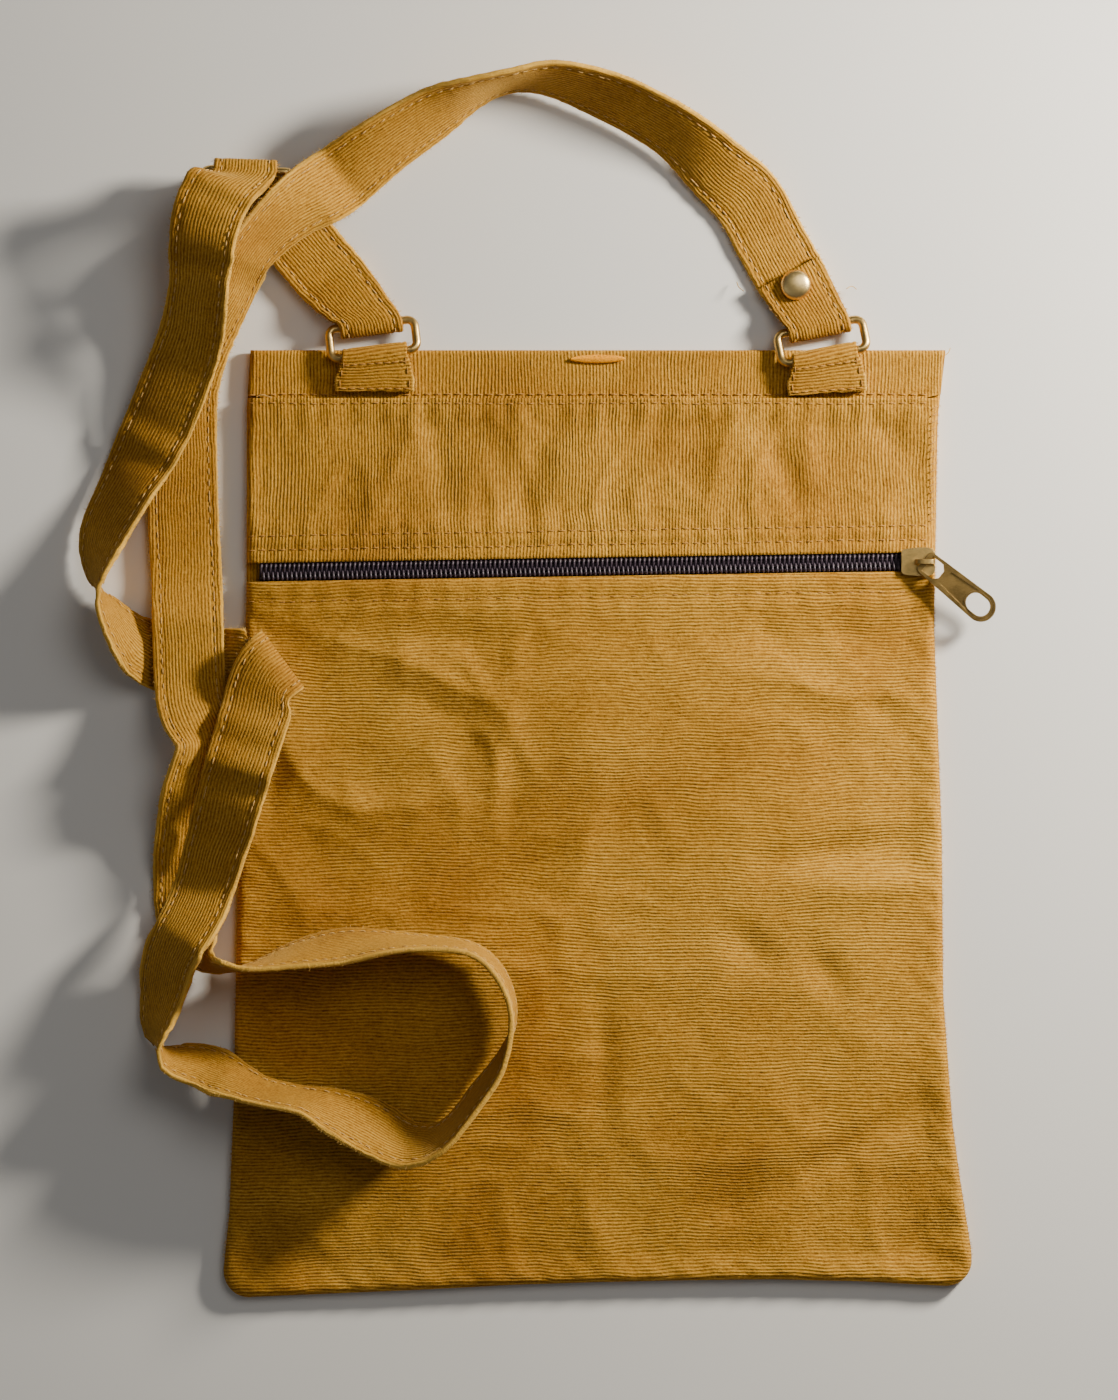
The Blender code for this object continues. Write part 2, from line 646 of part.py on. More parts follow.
def tab(name, ring_frame, heading, collection):
    """A folded tab sewn on the strip, round the ring's bar."""
    bar = ring_frame @ Vector((0, -(RING_H + RING_WIRE), 0))
    r = RING_WIRE / 2 + GAP + TAB_T / 2
    sewn = Vector((cos(heading), sin(heading), 0)) * (TAB_W / 2)
    held = ring_frame.to_3x3() @ Vector((TAB_W / 2 * TAB_SQUEEZE, 0, 0))
    back = Vector((sin(heading), -cos(heading), 0))
    mid = bar.copy()
    low = 2 * PANEL_T + 2 * GAP + TAB_T / 2
    steps = (1.0, 0.65, 0.35)
    path = [(mid + back * TAB_L * t + Vector((0, 0, low - mid.z)), t) for t in steps]
    for i in range(7):
        a = -pi / 2 + pi * i / 6
        path.append((mid - back * r * cos(a) + Vector((0, 0, r * sin(a))), 0.0))
    top = low + TAB_T + GAP - mid.z
    for t in reversed(steps):
        path.append((mid + back * TAB_L * t + Vector((0, 0, r + (top - r) * t)), t))
    rows = []
    for p, t in path:
        across = held.lerp(sewn, min(t / steps[1], 1.0))
        rows.append([p - across, p - across * 0.33, p + across * 0.33, p + across])
    return sheet_object(name, rows, TAB_T, 0, "velvet", collection)


def ground(x, y):
    """Height that the strap rests on: the bag and a little round it, or the floor."""
    near_x = min(max(x, left_x(y)), right_x(y))
    near_y = min(max(y, BOTTOM_Y), TOP_Y)
    if hypot(x - near_x, y - near_y) > REACH:
        return 0.0
    return bag_top(near_x, near_y)


def catmull(p0, p1, p2, p3, t):
    return 0.5 * ((2 * p1) + (p2 - p0) * t + (2 * p0 - 5 * p1 + 4 * p2 - p3) * t * t
                  + (3 * p1 - p0 - 3 * p2 + p3) * t * t * t)


def planned(runs):
    """Even steps through joined runs as (x, y, roll), and the run that each step belongs to."""
    keys = [Vector((s.x * BAG_W, s.y * BAG_H, radians(s.roll))) for run in runs for s in run]
    owner = [i for i, run in enumerate(runs) for s in run]
    last = len(keys) - 1
    points, owners = [], []
    for i in range(last):
        four = [keys[max(i - 1, 0)], keys[i], keys[i + 1], keys[min(i + 2, last)]]
        steps = max(1, ceil((four[2].xy - four[1].xy).length / STRAP_STEP))
        for step in range(steps):
            points.append(catmull(*four, step / steps))
            owners.append(owner[i])
    return points + [keys[-1]], owners + [owner[-1]]


def rulings_of(points):
    """Unit vectors across the strap, from its second edge to its first, at each planned step."""
    rulings = []
    last = len(points) - 1
    for i, p in enumerate(points):
        ahead = (points[min(i + 1, last)] - points[max(i - 1, 0)]).xy.normalized()
        left = Vector((-ahead.y, ahead.x, 0))
        rulings.append(left * cos(p.z) + Vector((0, 0, sin(p.z))))
    return rulings


def samples(point, ruling, height):
    """Points across the strap at a step."""
    mid = Vector((point.x, point.y, height))
    return [mid + ruling * (STRAP_W / 2 * share) for share in shares(-1.0, 1.0, 6)]


def upward(ruling):
    """Half of the strap's thickness as measured straight up."""
    return STRAP_T / 2 / max(hypot(ruling.x, ruling.y), 0.5)


def resting(point, ruling, pile):
    """Lowest height of a step's middle at which it clears the bag, the floor and the pile."""
    best = 0.0
    for p in samples(point, ruling, 0.0):
        support = ground(p.x, p.y)
        if len(pile):
            near = (pile[:, 0] - p.x) ** 2 + (pile[:, 1] - p.y) ** 2 < REACH ** 2
            if near.any():
                support = max(support, pile[near, 2].max())
        best = max(best, support + GAP + upward(ruling) - p.z)
    return best


def settled(chains, order, pile, ends):
    """Heights of all steps, run after run in the order in which they were laid down.

    chains holds (points, owners) pairs, order names (chain, run) pairs, pile starts with what lies
    below, and ends gives the lowest heights of a chain's first and last step.
    """
    rulings = [rulings_of(points) for points, _ in chains]
    heights = [[0.0] * len(points) for points, _ in chains]
    for c, (first, last) in enumerate(ends):
        heights[c][0] = first
        heights[c][-1] = last
    for lap in range(3):
        laid = [(p.x, p.y, p.z, -1, 0) for p in pile]
        for c, run in order:
            points, owners = chains[c]
            array = np.array(laid)
            mine = [i for i, owner in enumerate(owners) if owner == run]
            for i in mine:
                apart = (array[:, 3] != c) | (abs(array[:, 4] - i) > 7)
                heights[c][i] = max(heights[c][i], resting(points[i], rulings[c][i], array[apart]))
            for i in mine:
                for p in samples(points[i], rulings[c][i], heights[c][i] + upward(rulings[c][i])):
                    laid.append((p.x, p.y, p.z, c, i))
        for c, (points, _) in enumerate(chains):
            path = list(range(len(points)))
            for way in (path, path[::-1]):
                for a, b in zip(way, way[1:]):
                    fall = STRAP_SLOPE * (points[a].xy - points[b].xy).length
                    heights[c][b] = max(heights[c][b], heights[c][a] - fall)
    return heights, rulings


def strap_rows(stations):
    """Rows of points across the strap, of the same width along a sloping run too."""
    rows = []
    last = len(stations) - 1
    for i, station in enumerate(stations):
        ahead = (stations[min(i + 1, last)].mid - stations[max(i - 1, 0)].mid).normalized()
        lean = ahead.z * station.ruling.z
        half = STRAP_W / 2 * station.width / max(sqrt(1 - lean * lean), 0.8)
        rows.append([station.mid + station.ruling * half * side for side in (1, 0.34, -0.34, -1)])
    return rows


def at_height(point, z):
    return Vector((point.x, point.y, z))


def hook(mid, bar, side, sense):
    """Half turn round a ring's bar. side is the level way round it, sense -1 starts on top."""
    stations = []
    for i in range(7):
        a = (-pi / 2 + pi * i / 6) * sense
        stations.append(Station(mid + side * HOOK_R * cos(a) + Vector((0, 0, HOOK_R * sin(a))), bar, RING_SQUEEZE))
    return stations


def layer(mid, way, across, bar, heights):
    """One layer leaving a ring: it turns from the bar's direction to its own over TAIL_L."""
    stations = []
    for i, height in enumerate(heights):
        t = (i + 1) / len(heights)
        ruling = bar.lerp(across, t).normalized()
        wide = RING_SQUEEZE + (1 - RING_SQUEEZE) * t
        stations.append(Station(at_height(mid + way * TAIL_L * t, height), ruling, wide))
    return stations


def ring_bar(frame):
    """Unit vector along a ring's bars, and the level way from the strap's bar into the ring."""
    bar = (frame.to_3x3() @ Vector((1, 0, 0))).normalized()
    return bar, Vector((bar.y, -bar.x, 0)).normalized()


def level_way(start, end):
    return Vector((end.x - start.x, end.y - start.y, 0)).normalized()


def turned(way):
    return Vector((way.y, -way.x, 0))


def section_point(section):
    return Vector((section.x * BAG_W, section.y * BAG_H, 0))


def stub_stations(frames):
    """The short strap between the left ring and the strap ring, its ends folded back underneath."""
    low = GAP + STRAP_T / 2
    over = low + STRAP_T + GAP
    high = low + 2 * HOOK_R
    near = frames["ring_left"].translation.copy()
    near_bar, near_in = ring_bar(frames["ring_left"])
    far = frames["ring_strap"] @ Vector((0, -(RING_H + RING_WIRE), 0))
    far_bar, far_in = ring_bar(frames["ring_strap"])
    way = level_way(near, far)
    across = turned(way)
    stations = layer(near, way, across, near_bar, [low, low, low])[::-1]
    stations += hook(near, near_bar, near_in, 1)
    stations += layer(near, way, across, near_bar, [high, (high + over) / 2, over])
    stations += [Station(at_height(near.lerp(far, t), over), across, 1.0) for t in (0.42, 0.5, 0.58)]
    stations += layer(far, -way, across, far_bar, [high, (high + over) / 2, over])[::-1]
    stations += hook(far, far_bar, -far_in, -1)
    stations += layer(far, -way, across, far_bar, [low, low, low])
    return stations


def crease_stations(z_first, z_last):
    """The flat fold: a half turn about its crease."""
    ruling = Vector((cos(CREASE_HEADING), sin(CREASE_HEADING), 0))
    out = Vector((-ruling.y, ruling.x, 0))
    mid = Vector((CREASE_X * BAG_W, CREASE_Y * BAG_H, (z_first + z_last) / 2))
    r = (z_first - z_last) / 2
    stations = []
    for i in range(6):
        a = pi / 2 - pi * i / 5
        stations.append(Station(mid + out * (r * cos(a)) + Vector((0, 0, r * sin(a))), ruling, 1.0))
    return stations


def main_stations(frames, stub):
    """The long strap, from its riveted end at the right ring to the strap ring."""
    start = frames["ring_right"].translation.copy()
    start_bar, start_in = ring_bar(frames["ring_right"])
    low = GAP + STRAP_T / 2
    over = low + STRAP_T + GAP
    high = low + 2 * HOOK_R
    way = level_way(start, section_point(ARCH[0]))
    across = turned(way)
    stations = layer(start, way, across, start_bar, [high, over, over, over])[::-1]
    stations += hook(start, start_bar, start_in, -1)
    stations += layer(start, way, across, start_bar, [low, low])
    stations = [s._replace(ruling=-s.ruling) for s in stations]
    ring = frames["ring_strap"]
    bar, inward = ring_bar(ring)
    top = ring.translation - bar * RING_SIDE_CLEAR
    reach = STRAP_W / 2 * cos(CREASE_HEADING)
    fall = STRAP_W / 2 * sin(CREASE_HEADING)
    under = max(ground(CREASE_X * BAG_W + reach * t, CREASE_Y * BAG_H + fall * t) for t in (-1, -0.5, 0, 0.5, 1))
    base = under + GAP + STRAP_T / 2
    chains = [planned([ARCH, DROP, LOOP, CROSSING]), planned([RETURN, RISE])]
    order = [(1, 0), (0, 2), (0, 1), (0, 0), (0, 3), (1, 1)]
    pile = [p for s in stub for p in samples(s.mid, s.ruling, s.mid.z + upward(s.ruling))]
    ends = [(0.0, base + STRAP_T + 2 * GAP), (base, top.z + HOOK_R)]
    heights, rulings = settled(chains, order, pile, ends)
    runs = []
    for (points, _), levels, across_all in zip(chains, heights, rulings):
        runs.append([Station(at_height(p, z), ruling, 1.0) for p, z, ruling in zip(points, levels, across_all)])
    stations += runs[0]
    stations += crease_stations(heights[0][-1], heights[1][0])
    stations += runs[1]
    stations += hook(top, bar, -inward, -1)
    stations.append(Station(at_height(top + inward * TAIL_L * 0.4, top.z - HOOK_R), bar, RING_SQUEEZE))
    return stations


def strap(name, stations, collection):
    return sheet_object(name, strap_rows(stations), STRAP_T, 0, "velvet", collection)


def rivet(frames, collection):
    """Domed rivet cap on the strap's folded end."""
    bar_mid = frames["ring_right"].translation
    mid = bar_mid + level_way(bar_mid, section_point(ARCH[0])) * TAIL_L * RIVET_SHARE
    z = GAP + 2 * STRAP_T + GAP
    mesh = bpy.data.meshes.new("rivet_cap")
    profile = [(0.0, RIVET_H), (0.45, RIVET_H * 0.9), (0.8, RIVET_H * 0.6), (1.0, RIVET_H * 0.2), (1.0, 0.0), (0.0, 0.0)]
    points = [(r * RIVET_R, 0, h) for r, h in profile]
    mesh.from_pydata(points, [(i, i + 1) for i in range(len(points) - 1)], [])
    obj = add_object("rivet_cap", mesh, "brass", collection)
    screw = obj.modifiers.new("turn", "SCREW")
    screw.steps = 20
    screw.render_steps = 20
    screw.use_merge_vertices = True
    screw.merge_threshold = 0.00001
    obj.location = (mid.x, mid.y, z + GAP)
    return obj


def edge_motif(collection):
    """A small raised thread motif that shows over the top edge."""
    half = MOTIF_W / 2
    y = TOP_Y - MOTIF_H / 2 - PANEL_T * 0.6
    z = 2 * PANEL_T + 2 * GAP + MOTIF_T / 2
    points = []
    for i in range(16):
        a = 2 * pi * i / 16
        points.append((half * cos(a), MOTIF_H / 2 * sin(a)))
    mesh = extruded("edge_motif", points, MOTIF_T)
    obj = add_object("edge_motif", mesh, "thread", collection)
    obj.location = (0.008 * BAG_W, y, z)
    return obj


def main():
    clear_scene()
    collection = bpy.data.collections.new("shoulder_bag")
    bpy.context.scene.collection.children.link(collection)
    front_panel(collection)
    back_band(collection)
    back_panel(collection)
    zip_tape(collection)
    zip_coil(collection)
    zip_slider(collection)
    zip_puller(collection)
    frames = ring_frames()
    for name, frame in frames.items():
        ring_object(name, frame, collection)
    tab("tab_right", frames["ring_right"], radians(4), collection)
    tab("tab_left", frames["ring_left"], 0.0, collection)
    stub = stub_stations(frames)
    strap("strap_stub", stub, collection)
    strap("strap_main", main_stations(frames, stub), collection)
    rivet(frames, collection)
    edge_motif(collection)


main()
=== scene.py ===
"""Looks of the ribbed velvet shoulder bag: cloth, stitching, zip, metal, light and camera."""
import json
import random
from collections import namedtuple
from math import asin, atan2, ceil, cos, exp, hypot, pi, radians, sin, sqrt

import bmesh
import bpy
import numpy as np
from mathutils import Matrix, Vector, noise

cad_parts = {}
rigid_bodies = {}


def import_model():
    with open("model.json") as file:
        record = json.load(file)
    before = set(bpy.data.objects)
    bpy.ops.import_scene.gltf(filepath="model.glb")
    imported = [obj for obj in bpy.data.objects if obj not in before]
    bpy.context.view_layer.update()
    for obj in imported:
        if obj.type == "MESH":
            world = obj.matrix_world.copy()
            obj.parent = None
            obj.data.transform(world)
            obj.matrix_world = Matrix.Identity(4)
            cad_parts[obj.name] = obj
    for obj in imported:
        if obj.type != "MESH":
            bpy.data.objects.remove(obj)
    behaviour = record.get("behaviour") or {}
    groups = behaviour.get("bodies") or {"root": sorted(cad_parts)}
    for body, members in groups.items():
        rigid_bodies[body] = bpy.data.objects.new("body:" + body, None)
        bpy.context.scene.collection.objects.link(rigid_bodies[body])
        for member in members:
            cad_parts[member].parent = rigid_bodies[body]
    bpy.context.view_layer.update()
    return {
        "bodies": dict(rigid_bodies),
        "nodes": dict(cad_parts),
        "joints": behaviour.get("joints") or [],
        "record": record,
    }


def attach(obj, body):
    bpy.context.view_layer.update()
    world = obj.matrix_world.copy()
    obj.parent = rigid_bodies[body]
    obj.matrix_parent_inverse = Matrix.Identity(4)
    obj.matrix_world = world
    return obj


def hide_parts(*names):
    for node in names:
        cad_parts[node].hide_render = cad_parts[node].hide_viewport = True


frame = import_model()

random.seed(7)

# Sizes and tables as in the model's source
MM = 0.001
GAP = 0.3 * MM

# Driving sizes of the bag
BAG_W = 211 * MM
BAG_H = 280 * MM
PANEL_T = 1.4 * MM
BAG_PUFF = 4.8 * MM
BAND_PUFF = 3.2 * MM
EDGE_ROLL = 2.6 * MM
CORNER_R = 8 * MM
STRIP_H = 17 * MM
BAND_TOP_DROP = 13.8 * MM

# Driving sizes of the zip
COIL_W = 5.0 * MM
COIL_H = 2.0 * MM
SLIDER_L = 10.1 * MM
SLIDER_W = 8.6 * MM
SLIDER_T = 1.2 * MM
BRIDGE_L = 6.0 * MM
BRIDGE_W = 1.4 * MM
BRIDGE_T = 0.9 * MM
PULLER_L = 26.0 * MM
PULLER_W_SMALL = 7.2 * MM
PULLER_W_BIG = 9.0 * MM
PULLER_T = 1.5 * MM
PULLER_RIM = 0.85 * MM
PULLER_EYE_L = 5.5 * MM
PULLER_HOLE_BIG = 2.9 * MM
PULLER_HOLE_BIG_L = 7.8 * MM
PULLER_HEADING = radians(-39)
PULLER_DIP = radians(3)

# Driving sizes of the strap, its rings, tabs and rivet
STRAP_W = 21.6 * MM
STRAP_T = 2.0 * MM
STRAP_STEP = 6.0 * MM
STRAP_SLOPE = 0.6
REACH = 3.5 * MM
TAIL_L = 19 * MM
RING_WIRE = 2.6 * MM
RING_SIDE_CLEAR = 0.9 * MM
RING_H = 6.8 * MM
RING_CORNER = 2.4 * MM
RING_SQUEEZE = 0.88
TAB_W = 24.0 * MM
TAB_T = 1.2 * MM
TAB_L = 11.5 * MM
TAB_SQUEEZE = 0.82
RIVET_R = 4.6 * MM
RIVET_H = 2.4 * MM
RIVET_SHARE = 0.75
MOTIF_T = 0.8 * MM
MOTIF_W = 16 * MM
MOTIF_H = 2.4 * MM

# Heights that follow from the layers
SEAM_Z = 3 * PANEL_T + 2 * GAP
TOP_Y = 0.5014 * BAG_H
BOTTOM_Y = -0.498 * BAG_H
RING_W = STRAP_W + 2 * RING_SIDE_CLEAR
HOOK_R = RING_WIRE / 2 + GAP + STRAP_T / 2

Edge = namedtuple("Edge", "y x")
Fold = namedtuple("Fold", "x1 y1 x2 y2 width depth")
Section = namedtuple("Section", "x y roll")
Station = namedtuple("Station", "mid ruling width")

# Side edges: share of the height, share of the width
LEFT_EDGE = [Edge(0.502, -0.486), Edge(0.446, -0.491), Edge(0.236, -0.492), Edge(-0.090, -0.505),
             Edge(-0.301, -0.510), Edge(-0.416, -0.516), Edge(-0.474, -0.525), Edge(-0.498, -0.527)]
RIGHT_EDGE = [Edge(0.502, 0.503), Edge(0.429, 0.492), Edge(0.245, 0.488), Edge(0.200, 0.487),
              Edge(-0.021, 0.498), Edge(-0.191, 0.500), Edge(-0.326, 0.513), Edge(-0.392, 0.525),
              Edge(-0.461, 0.540), Edge(-0.498, 0.542)]
# Bottom seam: how far it sags below its straight line, as shares of the height, left to right
BOTTOM_SAG = [0.014, 0.010, 0.006, 0.001, -0.002, -0.004, -0.005, -0.003, 0.002]

# Zip line: heights of its two ends as shares of the height
ZIP_LEFT = 0.265
ZIP_RIGHT = 0.277

# Creases: two ends as shares of width and height, width as a share of width, depth as a share of the puff
FOLDS = [
    Fold(0.510, -0.289, 0.210, -0.419, 0.022, 0.20),
    Fold(0.513, -0.422, 0.434, -0.474, 0.020, 0.25),
    Fold(-0.499, -0.421, -0.377, -0.486, 0.022, 0.22),
    Fold(0.253, -0.046, 0.454, -0.022, 0.024, 0.22),
    Fold(0.334, -0.075, 0.485, -0.070, 0.024, -0.18),
    Fold(0.193, -0.119, 0.250, -0.149, 0.024, 0.16),
    Fold(0.313, -0.146, 0.350, -0.184, 0.022, 0.16),
    Fold(0.242, 0.209, 0.273, 0.182, 0.020, 0.12),
    Fold(0.385, 0.137, 0.434, 0.104, 0.022, 0.12),
    Fold(0.014, -0.191, 0.018, -0.326, 0.020, 0.14),
    Fold(-0.061, 0.435, -0.101, 0.320, 0.022, 0.16),
    Fold(-0.232, 0.435, -0.210, 0.336, 0.022, 0.12),
    Fold(0.242, 0.432, 0.296, 0.331, 0.022, 0.16),
    Fold(0.405, 0.429, 0.446, 0.391, 0.020, 0.12),
]

# The strap's runs. x and y are shares of the bag's width and height and roll is in degrees: 0 lies flat,
# 90 stands on its edge. Their heights follow from what lies under them.
ARCH = [
    Section(0.252, 0.624, 0), Section(0.223, 0.664, -8), Section(0.185, 0.692, -23),
    Section(0.127, 0.731, -42),
    Section(0.078, 0.754, -48), Section(0.023, 0.774, -52), Section(-0.054, 0.792, -65),
    Section(-0.114, 0.790, -77),
    Section(-0.166, 0.778, -70), Section(-0.227, 0.755, -48), Section(-0.300, 0.720, -36),
    Section(-0.373, 0.679, -18),
    Section(-0.422, 0.654, -38), Section(-0.459, 0.628, -48), Section(-0.489, 0.600, -55),
]
DROP = [
    Section(-0.515, 0.560, -55), Section(-0.539, 0.536, -40), Section(-0.562, 0.509, -22),
    Section(-0.580, 0.466, -12),
    Section(-0.584, 0.418, -8), Section(-0.582, 0.332, -5), Section(-0.577, 0.263, -5),
    Section(-0.574, 0.214, -4),
    Section(-0.572, 0.166, -4), Section(-0.567, 0.125, -10), Section(-0.546, 0.080, -32),
    Section(-0.563, 0.027, -22),
    Section(-0.573, -0.027, -14), Section(-0.574, -0.080, 8), Section(-0.570, -0.116, 34),
]
LOOP = [
    Section(-0.549, -0.150, 72), Section(-0.515, -0.156, 83), Section(-0.483, -0.156, 92),
    Section(-0.415, -0.142, 110),
    Section(-0.353, -0.134, 117), Section(-0.296, -0.130, 107), Section(-0.237, -0.130, 99),
    Section(-0.173, -0.136, 97),
    Section(-0.135, -0.158, 97), Section(-0.114, -0.193, 94), Section(-0.115, -0.228, 90),
    Section(-0.135, -0.264, 80),
    Section(-0.161, -0.291, 76), Section(-0.191, -0.321, 76), Section(-0.222, -0.340, 68),
    Section(-0.266, -0.344, 50),
    Section(-0.318, -0.325, 43), Section(-0.375, -0.307, 58), Section(-0.409, -0.298, 71),
    Section(-0.469, -0.288, 70),
    Section(-0.515, -0.273, 59), Section(-0.560, -0.261, 58), Section(-0.600, -0.253, 72),
]
CROSSING = [
    Section(-0.618, -0.231, 108), Section(-0.611, -0.194, 127), Section(-0.596, -0.144, 138),
    Section(-0.559, -0.091, 145),
    Section(-0.529, -0.019, 154), Section(-0.500, 0.056, 164), Section(-0.476, 0.116, 172),
]
RETURN = [
    Section(-0.500, 0.167, 0), Section(-0.539, 0.168, 0), Section(-0.576, 0.170, 0),
    Section(-0.614, 0.177, 8),
    Section(-0.653, 0.196, 50), Section(-0.688, 0.231, 76), Section(-0.702, 0.260, 106),
]
RISE = [
    Section(-0.694, 0.304, 133), Section(-0.661, 0.356, 143), Section(-0.618, 0.420, 166),
    Section(-0.576, 0.497, 163),
    Section(-0.562, 0.536, 152), Section(-0.555, 0.572, 147), Section(-0.549, 0.621, 162),
    Section(-0.540, 0.650, 174), Section(-0.526, 0.672, 178),
]

# The flat fold at the top of the crossing: its middle and the heading of its crease
CREASE_X = -0.454
CREASE_Y = 0.163
CREASE_HEADING = radians(-53.5)

# Rings: middle of the bar that holds the strap as shares, heading, slope of the ring's plane
RING_RIGHT = (0.331, 0.497, radians(11))
RING_LEFT = (-0.309, 0.499, radians(7))
STRAP_RING_X = -0.487
STRAP_RING_Y = 0.694
STRAP_RING_HEADING = radians(-2)
STRAP_RING_SLOPE = radians(72)


def lookup(table, y):
    """Share of the width at a share of the height, between the rows of an edge table."""
    if y >= table[0].y:
        return table[0].x
    for a, b in zip(table, table[1:]):
        if y >= b.y:
            t = (a.y - y) / (a.y - b.y)
            return a.x + (b.x - a.x) * t
    return table[-1].x


def left_x(y):
    return lookup(LEFT_EDGE, y / BAG_H) * BAG_W


def right_x(y):
    return lookup(RIGHT_EDGE, y / BAG_H) * BAG_W


def corner_inset(y):
    """How far the rounded bottom corners pull the sides in at a height."""
    d = y - BOTTOM_Y
    if d >= CORNER_R:
        return 0.0
    return CORNER_R - sqrt(max(CORNER_R ** 2 - (CORNER_R - d) ** 2, 0.0))


def bottom_sag(u):
    t = min(max(u, 0.0), 1.0) * (len(BOTTOM_SAG) - 1)
    i = min(int(t), len(BOTTOM_SAG) - 2)
    return (BOTTOM_SAG[i] + (BOTTOM_SAG[i + 1] - BOTTOM_SAG[i]) * (t - i)) * BAG_H


def zip_y(x):
    t = x / BAG_W + 0.5
    return (ZIP_LEFT + (ZIP_RIGHT - ZIP_LEFT) * t) * BAG_H


def crease_depth(x, y):
    total = 0.0
    for fold in FOLDS:
        a = Vector((fold.x1 * BAG_W, fold.y1 * BAG_H))
        b = Vector((fold.x2 * BAG_W, fold.y2 * BAG_H))
        along = b - a
        p = Vector((x, y)) - a
        t = min(max(p.dot(along) / along.length_squared, 0.0), 1.0)
        away = (p - along * t).length / (fold.width * BAG_W)
        total += fold.depth * exp(-away * away) * sin(pi * (0.15 + 0.7 * t))
    return total * BAG_PUFF


def bag_top(x, y):
    """Height of the upper side of the bag."""
    y_low = BOTTOM_Y
    s = (2 * x - left_x(y) - right_x(y)) / (right_x(y) - left_x(y))
    s = min(abs(s), 1.0)
    across = 1 - s ** 3.0
    t = min(max((y - y_low) / (TOP_Y - y_low), 0.0), 1.0)
    along = min(1.0, (sin(pi * min(t * 1.25, 1.0) * 0.5)) ** 0.8) * (1 - max((t - 0.62) / 0.38, 0.0) ** 1.3)
    puff = BAG_PUFF * across * along
    if t > 0.62:
        puff = max(puff, BAND_PUFF * across * (1 - ((t - 0.75) / 0.25) ** 2 if t > 0.75 else 1.0) * 0.6)
    crease = crease_depth(x, y) * min(1.0, (1 - s) * 8)
    return SEAM_Z + max(puff - crease, 0.0)


def shares(low, high, count):
    return [low + (high - low) * i / count for i in range(count + 1)]


def edge_distance(x, y):
    """Distance to the bag's sewn outline: both sides and the bottom, with its round corners."""
    dx = max(min(x - left_x(y), right_x(y) - x), 0.0)
    dy = max(y - BOTTOM_Y, 0.0)
    if dx < CORNER_R and dy < CORNER_R:
        return max(CORNER_R - hypot(CORNER_R - dx, CORNER_R - dy), 0.0)
    return min(dx, dy)


def outer_z(x, y):
    """Upper side of a back panel, rolled down at the sewn edges."""
    d = min(edge_distance(x, y), EDGE_ROLL)
    drop = EDGE_ROLL - sqrt(EDGE_ROLL ** 2 - (EDGE_ROLL - d) ** 2)
    return bag_top(x, y) - drop


def tape_top(x):
    return bag_top(x, zip_y(x)) - PANEL_T - GAP


def slider_place():
    """Middle of the slider and the height of its plate's underside."""
    x = right_x(zip_y(0)) - SLIDER_L / 2 - GAP
    low = min(x - SLIDER_L / 2, right_x(zip_y(0)) - SLIDER_L)
    tops = [bag_top(low, zip_y(x) + side * SLIDER_W / 2) for side in (-1, 1)]
    return Vector((x, zip_y(x), max(tops + [tape_top(low) + COIL_H]) + GAP))


def hinge_place():
    """The puller's axis: the middle of its bar under the bridge."""
    c = slider_place()
    x = c.x + SLIDER_L / 2 - BRIDGE_L / 2
    return Vector((x, c.y, c.z + SLIDER_T + 1.5 * GAP + PULLER_T / 2))


def ring_matrix(bar_mid, heading, slope):
    """Frame of a ring whose strap bar is at its origin, X along the bar, -Y towards the other bar."""
    turn = Matrix.Rotation(heading, 4, "Z") @ Matrix.Rotation(slope, 4, "X")
    return Matrix.Translation(bar_mid) @ turn


def strap_bar_z():
    """Height of a ring's bar that has one layer of the strap under it."""
    return GAP + STRAP_T + GAP + RING_WIRE / 2


def tab_slot_z():
    """Height of the middle of the slot that a tab leaves for its ring."""
    strip_top = 2 * PANEL_T + GAP
    return strip_top + GAP + TAB_T + GAP + RING_WIRE / 2


def ring_frames():
    """Frames of the two tab rings and the strap ring, each at the bar that holds the strap."""
    frames = {}
    span = RING_H + RING_WIRE
    drop = tab_slot_z() - strap_bar_z()
    slope = -asin(drop / span)
    for name, (x, y, heading) in (("ring_right", RING_RIGHT), ("ring_left", RING_LEFT)):
        up = Vector((-sin(heading), cos(heading), 0)) * span * cos(slope)
        mid = Vector((x * BAG_W, y * BAG_H, 0)) + up
        frames[name] = ring_matrix(Vector((mid.x, mid.y, strap_bar_z())), heading, slope)
    top = Vector((STRAP_RING_X * BAG_W, STRAP_RING_Y * BAG_H, strap_bar_z() + span * sin(STRAP_RING_SLOPE)))
    frames["ring_strap"] = ring_matrix(top, STRAP_RING_HEADING, STRAP_RING_SLOPE)
    return frames


def ground(x, y):
    """Height that the strap rests on: the bag and a little round it, or the floor."""
    near_x = min(max(x, left_x(y)), right_x(y))
    near_y = min(max(y, BOTTOM_Y), TOP_Y)
    if hypot(x - near_x, y - near_y) > REACH:
        return 0.0
    return bag_top(near_x, near_y)


def catmull(p0, p1, p2, p3, t):
    return 0.5 * ((2 * p1) + (p2 - p0) * t + (2 * p0 - 5 * p1 + 4 * p2 - p3) * t * t
                  + (3 * p1 - p0 - 3 * p2 + p3) * t * t * t)


